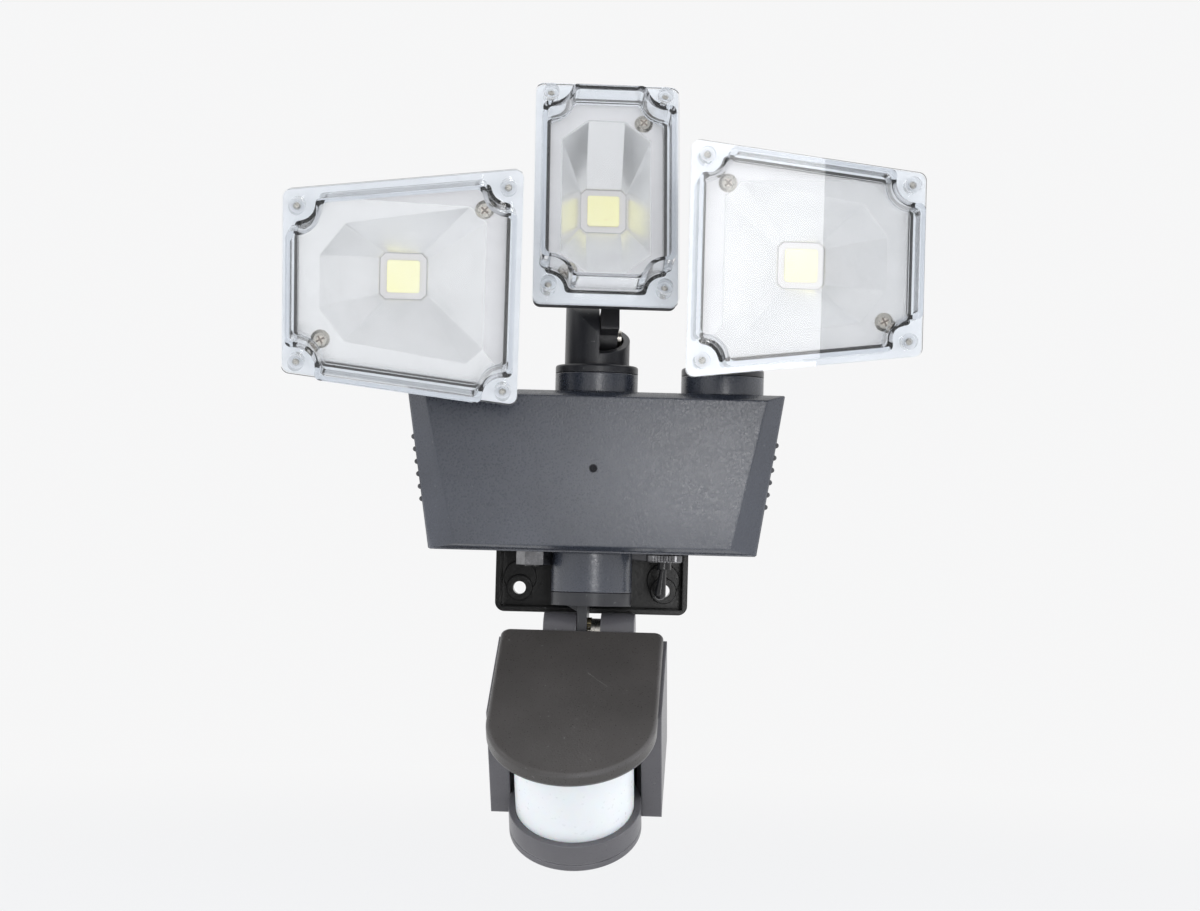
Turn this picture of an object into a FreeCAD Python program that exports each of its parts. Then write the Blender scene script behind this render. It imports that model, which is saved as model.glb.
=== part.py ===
import FreeCAD, Part
import os
import Sketcher
from FreeCAD import Placement, Rotation, Vector

# Three-head motion sensor security light for a wall.
# Millimetres. +Z is up and the light looks along -Y. The origin is the
# centre of the four wall screws, on the back face of the mounting tray.

doc = FreeCAD.newDocument("SecurityLight")
dim = doc.addObject("Spreadsheet::Sheet", "dim")

SIZES = {
    # mounting tray on the wall
    "tray_width": 82.0,
    "tray_height": 80.0,
    "tray_depth": 20.0,
    "tray_wall": 2.2,
    "tray_floor": 3.0,
    "tray_corner": 4.0,
    "wall_hole_spacing_x": 62.0,
    "wall_hole_spacing_z": 60.0,
    "wall_hole_radius": 2.75,
    "tray_boss_radius": 5.5,
    "tray_boss_height": 9.0,
    "tray_pad_radius": 7.0,
    "tray_pad_height": 4.0,
    "tray_pad_shift": 4.5,
    # shared allowances: lap is how far joined pieces and cutting tools overrun
    "lap": 1.0,
    "screw_bite": 8.0,
    # battery housing behind the slanted front cover
    "body_lift": 19.3,
    "body_height": 66.5,
    "body_top_width": 155.5,
    "body_bottom_width": 134.7,
    "body_rear": 22.0,
    "body_parting": 59.5,
    "body_front": 66.0,
    "body_wall": 2.5,
    "body_corner": 5.0,
    "cover_top_width": 140.2,
    "cover_bottom_width": 113.0,
    "cover_height": 61.5,
    "cover_wall": 2.0,
    "post_width": 46.0,
    "post_height": 34.0,
    "post_wall": 2.4,
    "post_floor": 10.0,
    "wall_reach": 8.0,
    "grip_rib_count": 6,
    "grip_rib_radius": 1.1,
    "grip_rib_pitch": 5.1,
    "grip_rib_length": 22.0,
    "grip_rib_gap": 0.6,
    "grip_lap": 3.0,
    "grip_recess": 0.8,
    "grip_height": 36.0,
    "screw_post_radius": 4.0,
    "screw_post_inset": 9.5,
    "screw_post_shift": 4.8,
    "seal_section": 1.5,
    # batteries and control board
    "cell_radius": 9.2,
    "cell_length": 65.0,
    "cell_pitch": 19.4,
    "holder_wall": 1.6,
    "board_width": 88.0,
    "board_height": 40.0,
    "board_thickness": 1.6,
    "board_stand": 9.0,
    "board_post_radius": 3.0,
    "board_post_inset": 5.0,
    # lamp collars and knuckles
    "axis_depth": 42.0,
    "head_spacing": 52.7,
    "collar_radius": 17.25,
    "collar_height": 7.9,
    "stem_radius": 7.0,
    "stem_collar": 2.0,
    "running_gap": 0.05,
    "joint_gap": 0.25,
    "ring_height": 3.3,
    "cup_radius": 13.5,
    "cup_wall": 2.6,
    "cup_floor": 1.0,
    "pivot_rise": 12.0,
    "rim_front": 4.0,
    "rim_rear": 18.7,
    "pivot_radius": 2.0,
    "pivot_bite": 8.5,
    "pivot_head_radius": 3.3,
    "pivot_head_height": 1.7,
    "tongue_thickness": 7.6,
    "tongue_radius": 7.0,
    "web_rise": 15.4,
    "web_drop": 1.5,
    # lamp heads: reach is pivot to flange face, lift is pivot to centre
    "wide_width": 94.3,
    "wide_inner": 19.0,
    "wide_inner_height": 95.4,
    "wide_outer_height": 73.0,
    "wide_reach": 52.0,
    "wide_lift": 29.7,
    "centre_width": 59.0,
    "centre_height": 95.0,
    "centre_reach": 47.6,
    "centre_lift": 45.9,
    "head_depth": 29.0,
    "head_wall": 2.2,
    "head_rim": 3.0,
    "rim_inset": 1.2,
    "rim_wall": 1.7,
    "rim_ledge": 1.4,
    "waist_step": 0.5,
    "head_taper": 16.0,
    "head_corner": 3.5,
    "lug_inset": 6.2,
    "lug_radius": 4.6,
    "lug_length": 13.0,
    "lens_screw_radius": 1.45,
    "lens_screw_head": 2.8,
    "lens_screw_head_height": 1.8,
    "lens_screw_reach": 4.0,
    "lens_flange": 2.2,
    "lens_wall": 1.8,
    "lens_rise": 15.0,
    "lens_inset": 2.6,
    "centre_lens_inset_z": 6.5,
    "lens_notch": 8.2,
    "lens_boss_radius": 3.2,
    "lens_boss_height": 7.0,
    "notch_blend": 2.6,
    "seal_inset": 4.3,
    "seal_width": 2.0,
    "seal_notch": 6.2,
    "plate_thickness": 1.4,
    "plate_setback": 4.0,
    "border_inset": 3.0,
    "reflector_depth": 16.0,
    "reflector_wall": 1.2,
    "reflector_base": 18.5,
    "reflector_base_cut": 2.0,
    "wide_opening_inset": 14.6,
    "wide_cut_outer_x": 10.0,
    "wide_cut_outer_z": 13.0,
    "wide_cut_inner_x": 6.4,
    "wide_cut_inner_z": 6.0,
    "wide_screw_inset": 15.2,
    "centre_opening_inset_x": 11.4,
    "centre_opening_inset_z": 14.8,
    "centre_cut_x": 10.8,
    "centre_cut_z": 8.4,
    "centre_screw_inset_x": 14.4,
    "centre_screw_inset_z": 15.2,
    "reflector_screw_radius": 1.4,
    "reflector_screw_head": 3.8,
    "reflector_screw_top": 2.66,
    "reflector_screw_height": 1.4,
    "plate_post_radius": 2.6,
    "cob_size": 19.5,
    "cob_thickness": 1.0,
    "emitter_size": 13.0,
    "emitter_thickness": 0.6,
    "heat_plate_size": 26.0,
    "heat_plate_thickness": 2.5,
    "heat_post_radius": 7.0,
    "source_step": 0.4,
    # rest pose of the heads, in degrees
    "left_tilt": -16.5,
    "left_yaw": 3.0,
    "centre_tilt": 13.5,
    "centre_yaw": 3.6,
    "right_tilt": -1.5,
    "right_yaw": 1.8,
    "sensor_tilt": -34.0,
    "sensor_yaw": -3.7,
    # sensor collar and swivel
    "sensor_collar_radius": 16.75,
    "sensor_collar_height": 16.3,
    "sensor_ring_height": 5.4,
    "sensor_pivot_drop": 11.0,
    "blade_left": 5.1,
    "blade_thickness": 4.0,
    "blade_radius": 7.6,
    "gusset_width": 5.0,
    "gusset_height": 5.5,
    "gusset_depth": 10.64,
    "lug_left_outer": 19.2,
    "lug_gap": 0.3,
    "lug_right_inner": 4.6,
    "lug_right_outer": 18.6,
    "barrel_radius": 8.0,
    "sensor_nut_radius": 5.5,
    "sensor_screw_inset": 2.0,
    # sensor head: forward and height counted from its pivot
    "sensor_shift": 2.3,
    "cap_width": 67.0,
    "cap_rear": 10.5,
    "cap_length": 93.5,
    "cap_top": 8.6,
    "cap_thickness": 5.5,
    "cap_edge": 1.4,
    "shell_half_width": 34.8,
    "shell_rear": 9.5,
    "shell_front": 60.0,
    "shell_bottom": 48.0,
    "shell_wall": 2.2,
    "bay_rise": 8.0,
    "cheek_inset": 3.0,
    "cheek_depth": 7.0,
    "window_forward": 64.8,
    "window_radius": 23.9,
    "window_wall": 1.2,
    "window_bottom": 38.0,
    "window_back": 3.0,
    "window_seat": 2.0,
    "base_radius": 26.8,
    "base_bottom": 50.4,
    "base_wall": 2.4,
    "base_lip": 2.6,
    "groove_depth": 0.5,
    "knob_radius": 3.0,
    "knob_height": 3.4,
    "knob_spacing": 18.0,
    "knob_proud": 1.02,
    "knob_slot_width": 1.0,
    "knob_slot_depth": 0.8,
    # detector board inside the sensor
    "detector_board_setback": 15.0,
    "detector_board_half": 18.0,
    "detector_board_top": 6.0,
    "detector_board_lift": 2.0,
    "detector_foot_spacing": 28.0,
    "detector_foot_width": 3.0,
    "detector_foot_height": 18.0,
    "detector_drop": 22.0,
    "detector_radius": 4.6,
    "detector_height": 4.2,
    "detector_rim_radius": 5.2,
    "detector_rim_height": 0.8,
    # charging inlet and toggle switch under the housing
    "inlet_offset": 24.0,
    "inlet_nut_flats": 13.0,
    "inlet_nut_height": 5.6,
    "inlet_bore": 2.9,
    "inlet_pin": 1.0,
    "inlet_radius": 4.0,
    "inlet_proud": 0.6,
    "inlet_tail": 9.0,
    "inlet_flange_lap": 1.5,
    "inlet_flange_height": 2.0,
    "inlet_bore_depth": 10.0,
    "toggle_offset": 30.0,
    "toggle_depth": 46.0,
    "toggle_nut_radius": 7.5,
    "toggle_nut_height": 3.4,
    "toggle_bush_radius": 3.0,
    "toggle_bush_height": 6.4,
    "toggle_case_width": 12.8,
    "toggle_case_depth": 8.0,
    "toggle_case_height": 10.0,
    "toggle_mouth_radius": 2.6,
    "toggle_throat_radius": 1.8,
    "toggle_mouth_depth": 4.6,
    "toggle_hinge_rise": 3.2,
    "toggle_ball_radius": 1.3,
    "toggle_neck_radius": 1.2,
    "toggle_waist_radius": 1.5,
    "toggle_neck_length": 5.0,
    "toggle_lever_radius": 2.4,
    "toggle_lever_length": 13.5,
    "toggle_lean": 6.0,
}


def fill_sheet():
    """Write every driving size into the sheet under its own alias."""
    for row, (alias, value) in enumerate(SIZES.items(), start=1):
        dim.set("A%d" % row, alias)
        dim.set("B%d" % row, "%g" % value)
        dim.setAlias("B%d" % row, alias)
    doc.recompute()


fill_sheet()
nodes = {}


def size(alias):
    """Current value of one driving size."""
    return float(getattr(dim, alias))


def value(expression):
    """Number that an expression of sheet sizes stands for."""
    result = dim.evalExpression(str(expression))
    return float(getattr(result, "Value", result))


def bind(obj, **expressions):
    """Tie properties of an object to expressions of sheet sizes."""
    for name, expression in expressions.items():
        obj.setExpression(name, str(expression))


def locate(obj, x=0, y=0, z=0):
    """Tie the position of an object to expressions of sheet sizes."""
    obj.setExpression("Placement.Base.x", str(x))
    obj.setExpression("Placement.Base.y", str(y))
    obj.setExpression("Placement.Base.z", str(z))


def deliver(label, obj, placement=None):
    """Name a finished sub-part and put it in its place."""
    obj.Label = label
    if placement is not None:
        obj.Placement = placement
    nodes[label] = obj
    return obj


# ---- building blocks ----------------------------------------------------

DIRECTIONS = {
    "Z": Rotation(),
    "-Z": Rotation(Vector(1, 0, 0), 180),
    "Y": Rotation(Vector(1, 0, 0), -90),
    "-Y": Rotation(Vector(1, 0, 0), 90),
    "X": Rotation(Vector(0, 1, 0), 90),
    "-X": Rotation(Vector(0, 1, 0), -90),
}
PLANES = {
    "front": Rotation(Vector(1, 0, 0), 90),
    "plan": Rotation(),
    "side": Rotation(Vector(1, 1, 1), 120),
}


def box(name, low, high):
    """Block between two opposite corners."""
    block = doc.addObject("Part::Box", name)
    spans = ["(%s) - (%s)" % (top, bottom) for bottom, top in zip(low, high)]
    bind(block, Length=spans[0], Width=spans[1], Height=spans[2])
    locate(block, *low)
    return block


def rod(name, radius, start, length, along="Z"):
    """Cylinder that starts at a point and runs along an axis."""
    cylinder = doc.addObject("Part::Cylinder", name)
    cylinder.Placement = Placement(Vector(), DIRECTIONS[along])
    bind(cylinder, Radius=radius, Height=length)
    locate(cylinder, *start)
    return cylinder


def cone(name, radius1, radius2, start, length, along="Z"):
    """Cone frustum that starts at a point and runs along an axis."""
    frustum = doc.addObject("Part::Cone", name)
    frustum.Placement = Placement(Vector(), DIRECTIONS[along])
    bind(frustum, Radius1=radius1, Radius2=radius2, Height=length)
    locate(frustum, *start)
    return frustum


def draw_polygon(sketch, corners):
    """Closed outline whose corners are held by sheet expressions."""
    first = sketch.GeometryCount
    points = [Vector(value(x), value(y), 0) for x, y in corners]
    count = len(points)
    for index in range(count):
        line = Part.LineSegment(points[index], points[(index + 1) % count])
        sketch.addGeometry(line, False)
    for index in range(count):
        joint = Sketcher.Constraint("Coincident", first + index, 2, first + (index + 1) % count, 1)
        sketch.addConstraint(joint)
    for index, (x, y) in enumerate(corners):
        for kind, expression, start in (("DistanceX", x, points[index].x),
                                        ("DistanceY", y, points[index].y)):
            number = sketch.addConstraint(Sketcher.Constraint(kind, -1, 1, first + index, 1, start))
            sketch.setExpression("Constraints[%d]" % number, str(expression))


def draw_circle(sketch, x, y, radius):
    """Circle whose centre and radius are held by sheet expressions."""
    index = sketch.GeometryCount
    centre = Vector(value(x), value(y), 0)
    sketch.addGeometry(Part.Circle(centre, Vector(0, 0, 1), value(radius)), False)
    held = (("DistanceX", x, centre.x), ("DistanceY", y, centre.y))
    for kind, expression, start in held:
        number = sketch.addConstraint(Sketcher.Constraint(kind, -1, 1, index, 3, start))
        sketch.setExpression("Constraints[%d]" % number, str(expression))
    number = sketch.addConstraint(Sketcher.Constraint("Radius", index, value(radius)))
    sketch.setExpression("Constraints[%d]" % number, str(radius))


def outline(name, plane, level, corners):
    """Free sketch of a polygon. Level counts forward, up or to the right."""
    sketch = doc.addObject("Sketcher::SketchObject", name)
    sketch.Placement = Placement(Vector(), PLANES[plane])
    draw_polygon(sketch, corners)
    if plane == "front":
        locate(sketch, y="-(%s)" % level)
    elif plane == "plan":
        locate(sketch, z=level)
    else:
        locate(sketch, x=level)
    return sketch


def extrude(name, sketch, length):
    """Prism on a sketch, along the sketch's own normal."""
    prism = doc.addObject("Part::Extrusion", name)
    prism.Base = sketch
    prism.DirMode = "Normal"
    prism.Solid = True
    bind(prism, LengthFwd=length)
    return prism


def loft(name, sections):
    """Straight-walled solid through sketches with matching corners."""
    skin = doc.addObject("Part::Loft", name)
    skin.Sections = sections
    skin.Solid = True
    skin.Ruled = True
    return skin


def fuse(name, *items):
    """One solid from several."""
    joined = doc.addObject("Part::MultiFuse", name)
    joined.Shapes = list(items)
    joined.Refine = True
    return joined


def gather(name, *items):
    """Several separate solids kept together as one sub-part."""
    group = doc.addObject("Part::Compound", name)
    group.Links = list(items)
    return group


def cut(name, base, *tools):
    """A solid with other solids taken out of it."""
    remainder = doc.addObject("Part::Cut", name)
    remainder.Base = base
    remainder.Tool = tools[0] if len(tools) == 1 else fuse(name + "_tools", *tools)
    remainder.Refine = True
    return remainder


def common(name, first, second):
    """What two solids share."""
    shared = doc.addObject("Part::MultiCommon", name)
    shared.Shapes = [first, second]
    return shared


def edges_where(shape, test):
    """Numbers of the edges that pass a test, counted from 1."""
    return [number for number, edge in enumerate(shape.Edges, start=1) if test(edge)]


def runs_along(axis):
    """Test for straight edges parallel to an axis."""
    def test(edge):
        if edge.Curve.TypeId != "Part::GeomLine":
            return False
        return abs(abs(edge.Curve.Direction.dot(axis)) - 1) < 1e-6
    return test


def round_edges(name, base, radius, test):
    """Fillet the edges of a solid that pass a test."""
    doc.recompute()
    fillet = doc.addObject("Part::Fillet", name)
    fillet.Base = base
    reach = value(radius)
    fillet.Edges = [(number, reach, reach) for number in edges_where(base.Shape, test)]
    return fillet


def new_body(name):
    """Empty feature body."""
    return doc.addObject("PartDesign::Body", name)


def body_sketch(body, name, role, level=0):
    """Sketch on one of the body's own origin planes, at a level."""
    plane = [item for item in body.Origin.OriginFeatures if item.Role == role][0]
    sketch = body.newObject("Sketcher::SketchObject", name)
    sketch.AttachmentSupport = [(plane, "")]
    sketch.MapMode = "FlatFace"
    sketch.setExpression("AttachmentOffset.Base.z", str(level))
    return sketch


def pad(body, sketch, length, name):
    """Add material on a sketch."""
    feature = body.newObject("PartDesign::Pad", name)
    feature.Profile = sketch
    bind(feature, Length=length)
    body.Tip = feature
    doc.recompute()
    return feature


def pocket(body, sketch, length, name):
    """Take material away behind a sketch."""
    feature = body.newObject("PartDesign::Pocket", name)
    feature.Profile = sketch
    bind(feature, Length=length)
    body.Tip = feature
    doc.recompute()
    return feature


def body_loft(body, kind, sections, name):
    """Add or take away a straight-walled loft between sketches."""
    feature = body.newObject("PartDesign::" + kind, name)
    feature.Profile = sections[0]
    feature.Sections = sections[1:]
    feature.Ruled = True
    body.Tip = feature
    doc.recompute()
    return feature


def body_fillet(body, test, radius, name):
    """Round the edges of the body's last feature that pass a test."""
    base = body.Tip
    feature = body.newObject("PartDesign::Fillet", name)
    feature.Base = (base, ["Edge%d" % number for number in edges_where(base.Shape, test)])
    bind(feature, Radius=radius)
    body.Tip = feature
    doc.recompute()
    return feature


def trapezoid(top, bottom, height, lift="dim.body_lift", inset="0"):
    """Corners of a level trapezoid, drawn in by an inset all round."""
    half_top = "((%s) / 2 - (%s))" % (top, inset)
    half_bottom = "((%s) / 2 - (%s))" % (bottom, inset)
    half_height = "((%s) / 2 - (%s))" % (height, inset)
    high = "(%s) + %s" % (lift, half_height)
    low = "(%s) - %s" % (lift, half_height)
    return [("-" + half_bottom, low), (half_bottom, low), (half_top, high), ("-" + half_top, high)]


def rectangle(width, height, x="0", y="0"):
    """Corners of a rectangle about a centre."""
    left = "(%s) - (%s) / 2" % (x, width)
    right = "(%s) + (%s) / 2" % (x, width)
    low = "(%s) - (%s) / 2" % (y, height)
    high = "(%s) + (%s) / 2" % (y, height)
    return [(left, low), (right, low), (right, high), (left, high)]


along_x = Vector(1, 0, 0)
along_y = Vector(0, 1, 0)
along_z = Vector(0, 0, 1)
SIDES = (-1, 1)


# ---- mounting tray --------------------------------------------------------

def build_tray():
    """Open-fronted mounting tray with four screw bosses."""
    body = new_body("wall_bracket")
    plate = body_sketch(body, "tray_outline", "XZ_Plane")
    draw_polygon(plate, rectangle("dim.tray_width", "dim.tray_height"))
    pad(body, plate, "dim.tray_depth", "tray_block")
    body_fillet(body, runs_along(along_y), "dim.tray_corner", "tray_corners")
    hollow = body_sketch(body, "tray_hollow_outline", "XZ_Plane", "dim.tray_depth")
    inside = rectangle("dim.tray_width - 2 * dim.tray_wall", "dim.tray_height - 2 * dim.tray_wall")
    draw_polygon(hollow, inside)
    pocket(body, hollow, "dim.tray_depth - dim.tray_floor", "tray_hollow")
    pads = body_sketch(body, "pad_circles", "XZ_Plane", "dim.tray_floor / 2")
    bosses = body_sketch(body, "boss_circles", "XZ_Plane", "dim.tray_floor / 2")
    bores = body_sketch(body, "bore_circles", "XZ_Plane", "dim.tray_depth")
    for x in SIDES:
        for z in SIDES:
            across = "%d * dim.wall_hole_spacing_x / 2" % x
            up = "%d * dim.wall_hole_spacing_z / 2" % z
            draw_circle(pads, across, "%d * (dim.wall_hole_spacing_z / 2 - dim.tray_pad_shift)" % z,
                        "dim.tray_pad_radius")
            draw_circle(bosses, across, up, "dim.tray_boss_radius")
            draw_circle(bores, across, up, "dim.wall_hole_radius")
    pad(body, pads, "dim.tray_floor / 2 + dim.tray_pad_height", "tray_pads")
    pad(body, bosses, "dim.tray_floor / 2 + dim.tray_boss_height", "tray_bosses")
    for x in SIDES:
        draw_circle(bores, "%d * dim.post_width / 4" % x, "0", "dim.lens_screw_radius + dim.running_gap")
    pocket(body, bores, "dim.tray_depth", "tray_bores")
    sinks = body_sketch(body, "sink_circles", "XZ_Plane", "dim.tray_floor / 2")
    for x in SIDES:
        draw_circle(sinks, "%d * dim.post_width / 4" % x, "0", "dim.lens_screw_head + 4 * dim.running_gap")
    pocket(body, sinks, "dim.tray_floor / 2", "tray_sinks")
    deliver("wall_bracket", body)


def build_post_screws():
    """Two screws that hold the housing's post to the tray floor."""
    screws = []
    for x in SIDES:
        across = "%d * dim.post_width / 4" % x
        head = rod("post_head_%d" % x, "dim.lens_screw_head", (across, 0, 0), "dim.tray_floor / 2", "-Y")
        shank = rod("post_shank_%d" % x, "dim.lens_screw_radius", (across, 0, 0),
                    "dim.tray_floor + dim.screw_bite", "-Y")
        screws.append(fuse("post_screw_%d" % x, head, shank))
    deliver("bracket_screws", gather("bracket_screw_pair", *screws))


# ---- housing ---------------------------------------------------------------

rear_outline = ("dim.body_top_width", "dim.body_bottom_width", "dim.body_height")
cover_outline = ("dim.cover_top_width", "dim.cover_bottom_width", "dim.cover_height")
body_top = "(dim.body_lift + dim.body_height / 2)"
body_bottom = "(dim.body_lift - dim.body_height / 2)"


def screw_post_places():
    """Centres of the four long housing screws."""
    places = []
    for x in SIDES:
        for z, width in ((-1, "dim.body_bottom_width"), (1, "dim.body_top_width")):
            across = "%d * (%s / 2 - dim.screw_post_inset - dim.screw_post_shift)" % (x, width)
            up = "dim.body_lift + %d * (dim.body_height / 2 - dim.screw_post_inset)" % z
            places.append((across, up))
    return places


def lamp_axes():
    """Distance of each lamp's swivel axis from the middle."""
    return {"left": "-dim.head_spacing", "centre": "0", "right": "dim.head_spacing"}


def build_rear_housing():
    """Deep rear shell with grip ribs, screw posts and the wall post."""
    shell = extrude("rear_block",
                    outline("rear_outline", "front", "dim.body_rear", trapezoid(*rear_outline)),
                    "dim.body_parting - dim.body_rear")

    def rear_edge(edge):
        return edge.BoundBox.YMin > -size("body_rear") - 0.01
    shell = round_edges("rear_rounded", shell, "dim.body_corner", rear_edge)
    inside = extrude("rear_inside_block",
                     outline("rear_inside", "front", "dim.body_rear + dim.body_wall",
                             trapezoid(*rear_outline, inset="dim.body_wall")),
                     "dim.body_parting - dim.body_rear")
    inside = round_edges("rear_inside_rounded", inside, "dim.body_corner - dim.body_wall / 2",
                         lambda edge: edge.BoundBox.YMin > -size("body_rear") - size("body_wall") - 0.01)
    shell = cut("rear_shell", shell, inside)
    parts = [shell]
    cuts = []
    for index, (x, z) in enumerate(screw_post_places()):
        parts.append(rod("rear_post_%d" % index, "dim.screw_post_radius",
                         (x, "-dim.body_rear - dim.body_wall / 2", z),
                         "dim.body_parting - dim.body_rear - dim.body_wall / 2", "-Y"))
        cuts.append(rod("rear_bore_%d" % index, "dim.lens_screw_radius + dim.running_gap",
                        (x, 0, z), "dim.body_front", "-Y"))
        cuts.append(rod("rear_sink_%d" % index, "dim.lens_screw_head + 4 * dim.running_gap",
                        (x, 0, z), "dim.body_rear + dim.body_wall", "-Y"))
    for side in SIDES:
        parts.append(grip_panel(side))
        cuts.append(grip_recess(side))
    post = extrude("wall_post", outline("wall_post_outline", "front", "dim.tray_floor",
                                        rectangle("dim.post_width", "dim.post_height")),
                   "dim.body_rear + dim.body_wall / 2 - dim.tray_floor")
    hollow = extrude("wall_post_hollow",
                     outline("wall_post_inside", "front", "dim.tray_floor + dim.post_floor",
                             rectangle("dim.post_width - 2 * dim.post_wall",
                                       "dim.post_height - 2 * dim.post_wall")),
                     "dim.body_rear - dim.tray_floor - dim.post_floor")
    parts.append(cut("wall_post_shell", post, hollow))
    for side in SIDES:
        cuts.append(rod("wall_post_bore_%d" % side, "dim.lens_screw_radius + dim.running_gap",
                        ("%d * dim.post_width / 4" % side, 0, 0),
                        "dim.tray_floor + dim.screw_bite + dim.lap / 2", "-Y"))
    for name, x in lamp_axes().items():
        cuts.append(rod("stem_hole_" + name, "dim.stem_radius",
                        (x, "-dim.axis_depth", body_top + " - dim.wall_reach"), "2 * dim.wall_reach"))
    below = body_bottom + " - dim.wall_reach"
    cuts.append(rod("sensor_hole", "dim.stem_radius", (0, "-dim.axis_depth", below), "2 * dim.wall_reach"))
    cuts.append(rod("inlet_hole", "dim.inlet_radius",
                    ("-dim.inlet_offset", "-dim.toggle_depth", below), "2 * dim.wall_reach"))
    cuts.append(rod("toggle_hole", "dim.toggle_bush_radius",
                    ("dim.toggle_offset", "-dim.toggle_depth", below), "2 * dim.wall_reach"))
    solid = fuse("rear_housing_solid", *[part for part in parts if part.Name.find("rib") < 0])
    hollowed = cut("rear_housing_cut", solid, *cuts)
    ribs = [rib for side in SIDES for rib in grip_ribs(side)]
    deliver("rear_housing", fuse("rear_housing_whole", hollowed, *ribs))


def side_point(side, up, proud):
    """Point on the slanted side wall, at a height over the housing's middle."""
    slope = "(dim.body_top_width - dim.body_bottom_width) / 2 / dim.body_height"
    middle = "(dim.body_top_width + dim.body_bottom_width) / 4"
    across = "%d * (%s + (%s) * %s + (%s))" % (side, middle, up, slope, proud)
    return across, "dim.body_lift + (%s)" % up


def grip_panel(side):
    """Thicker wall behind the grip recess."""
    corners = [side_point(side, "-dim.grip_height / 2 - dim.grip_lap", "-dim.body_wall - dim.grip_recess"),
               side_point(side, "-dim.grip_height / 2 - dim.grip_lap", "-dim.grip_recess"),
               side_point(side, "dim.grip_height / 2 + dim.grip_lap", "-dim.grip_recess"),
               side_point(side, "dim.grip_height / 2 + dim.grip_lap", "-dim.body_wall - dim.grip_recess")]
    return extrude("grip_panel_%d" % side,
                   outline("grip_panel_outline_%d" % side, "front", "dim.body_rear + dim.body_corner",
                           corners),
                   "dim.grip_rib_length + 2 * dim.grip_lap")


def grip_recess(side):
    """Shallow recess in the side wall."""
    corners = [side_point(side, "-dim.grip_height / 2", "-dim.grip_recess"),
               side_point(side, "-dim.grip_height / 2", "dim.grip_lap"),
               side_point(side, "dim.grip_height / 2", "dim.grip_lap"),
               side_point(side, "dim.grip_height / 2", "-dim.grip_recess")]
    return extrude("grip_recess_%d" % side,
                   outline("grip_recess_outline_%d" % side, "front",
                           "dim.body_rear + dim.body_corner + dim.grip_lap", corners),
                   "dim.grip_rib_length")


def grip_ribs(side):
    """Round ribs across the recess."""
    ribs = []
    count = int(size("grip_rib_count"))
    for step in range(count):
        up = "%g * dim.grip_rib_pitch" % (step - (count - 1) / 2)
        x, z = side_point(side, up, "-dim.grip_recess")
        ribs.append(rod("grip_rib_%d_%d" % (side, step), "dim.grip_rib_radius",
                        (x, "-dim.body_rear - dim.body_corner - dim.grip_lap - dim.grip_rib_gap", z),
                        "dim.grip_rib_length - 2 * dim.grip_rib_gap", "-Y"))
    return ribs


def build_front_housing():
    """Slanted front cover with screw posts and board posts behind it."""
    body = new_body("front_housing")
    back = body_sketch(body, "cover_back", "XZ_Plane", "dim.body_parting")
    draw_polygon(back, trapezoid(*rear_outline))
    front = body_sketch(body, "cover_front", "XZ_Plane", "dim.body_front")
    draw_polygon(front, trapezoid(*cover_outline))
    body_loft(body, "AdditiveLoft", [back, front], "cover_block")
    back_in = body_sketch(body, "cover_back_inside", "XZ_Plane", "dim.body_parting")
    draw_polygon(back_in, trapezoid(*rear_outline, inset="dim.body_wall"))
    front_in = body_sketch(body, "cover_front_inside", "XZ_Plane", "dim.body_front - dim.body_wall")
    draw_polygon(front_in, trapezoid(*cover_outline, inset="dim.cover_wall"))
    body_loft(body, "SubtractiveLoft", [back_in, front_in], "cover_hollow")
    posts = body_sketch(body, "cover_posts", "XZ_Plane", "dim.body_parting")
    bores = body_sketch(body, "cover_bores", "XZ_Plane", "dim.body_front - dim.body_wall")
    for x, z in screw_post_places():
        draw_circle(posts, x, z, "dim.screw_post_radius")
        draw_circle(bores, x, z, "dim.lens_screw_radius + dim.running_gap")
    pad(body, posts, "dim.body_front - dim.body_parting - dim.body_wall / 2", "cover_screw_posts")
    stands = body_sketch(body, "cover_stands", "XZ_Plane",
                         "dim.body_front - dim.body_wall - dim.board_stand")
    for x in SIDES:
        for z in SIDES:
            draw_circle(stands, "%d * (dim.board_width / 2 - dim.board_post_inset)" % x,
                        "dim.body_lift + %d * (dim.board_height / 2 - dim.board_post_inset)" % z,
                        "dim.board_post_radius")
    pad(body, stands, "dim.board_stand + dim.body_wall / 2", "cover_board_posts")
    pocket(body, bores, "dim.body_front", "cover_screw_bores")
    deliver("front_housing", body)


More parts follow.
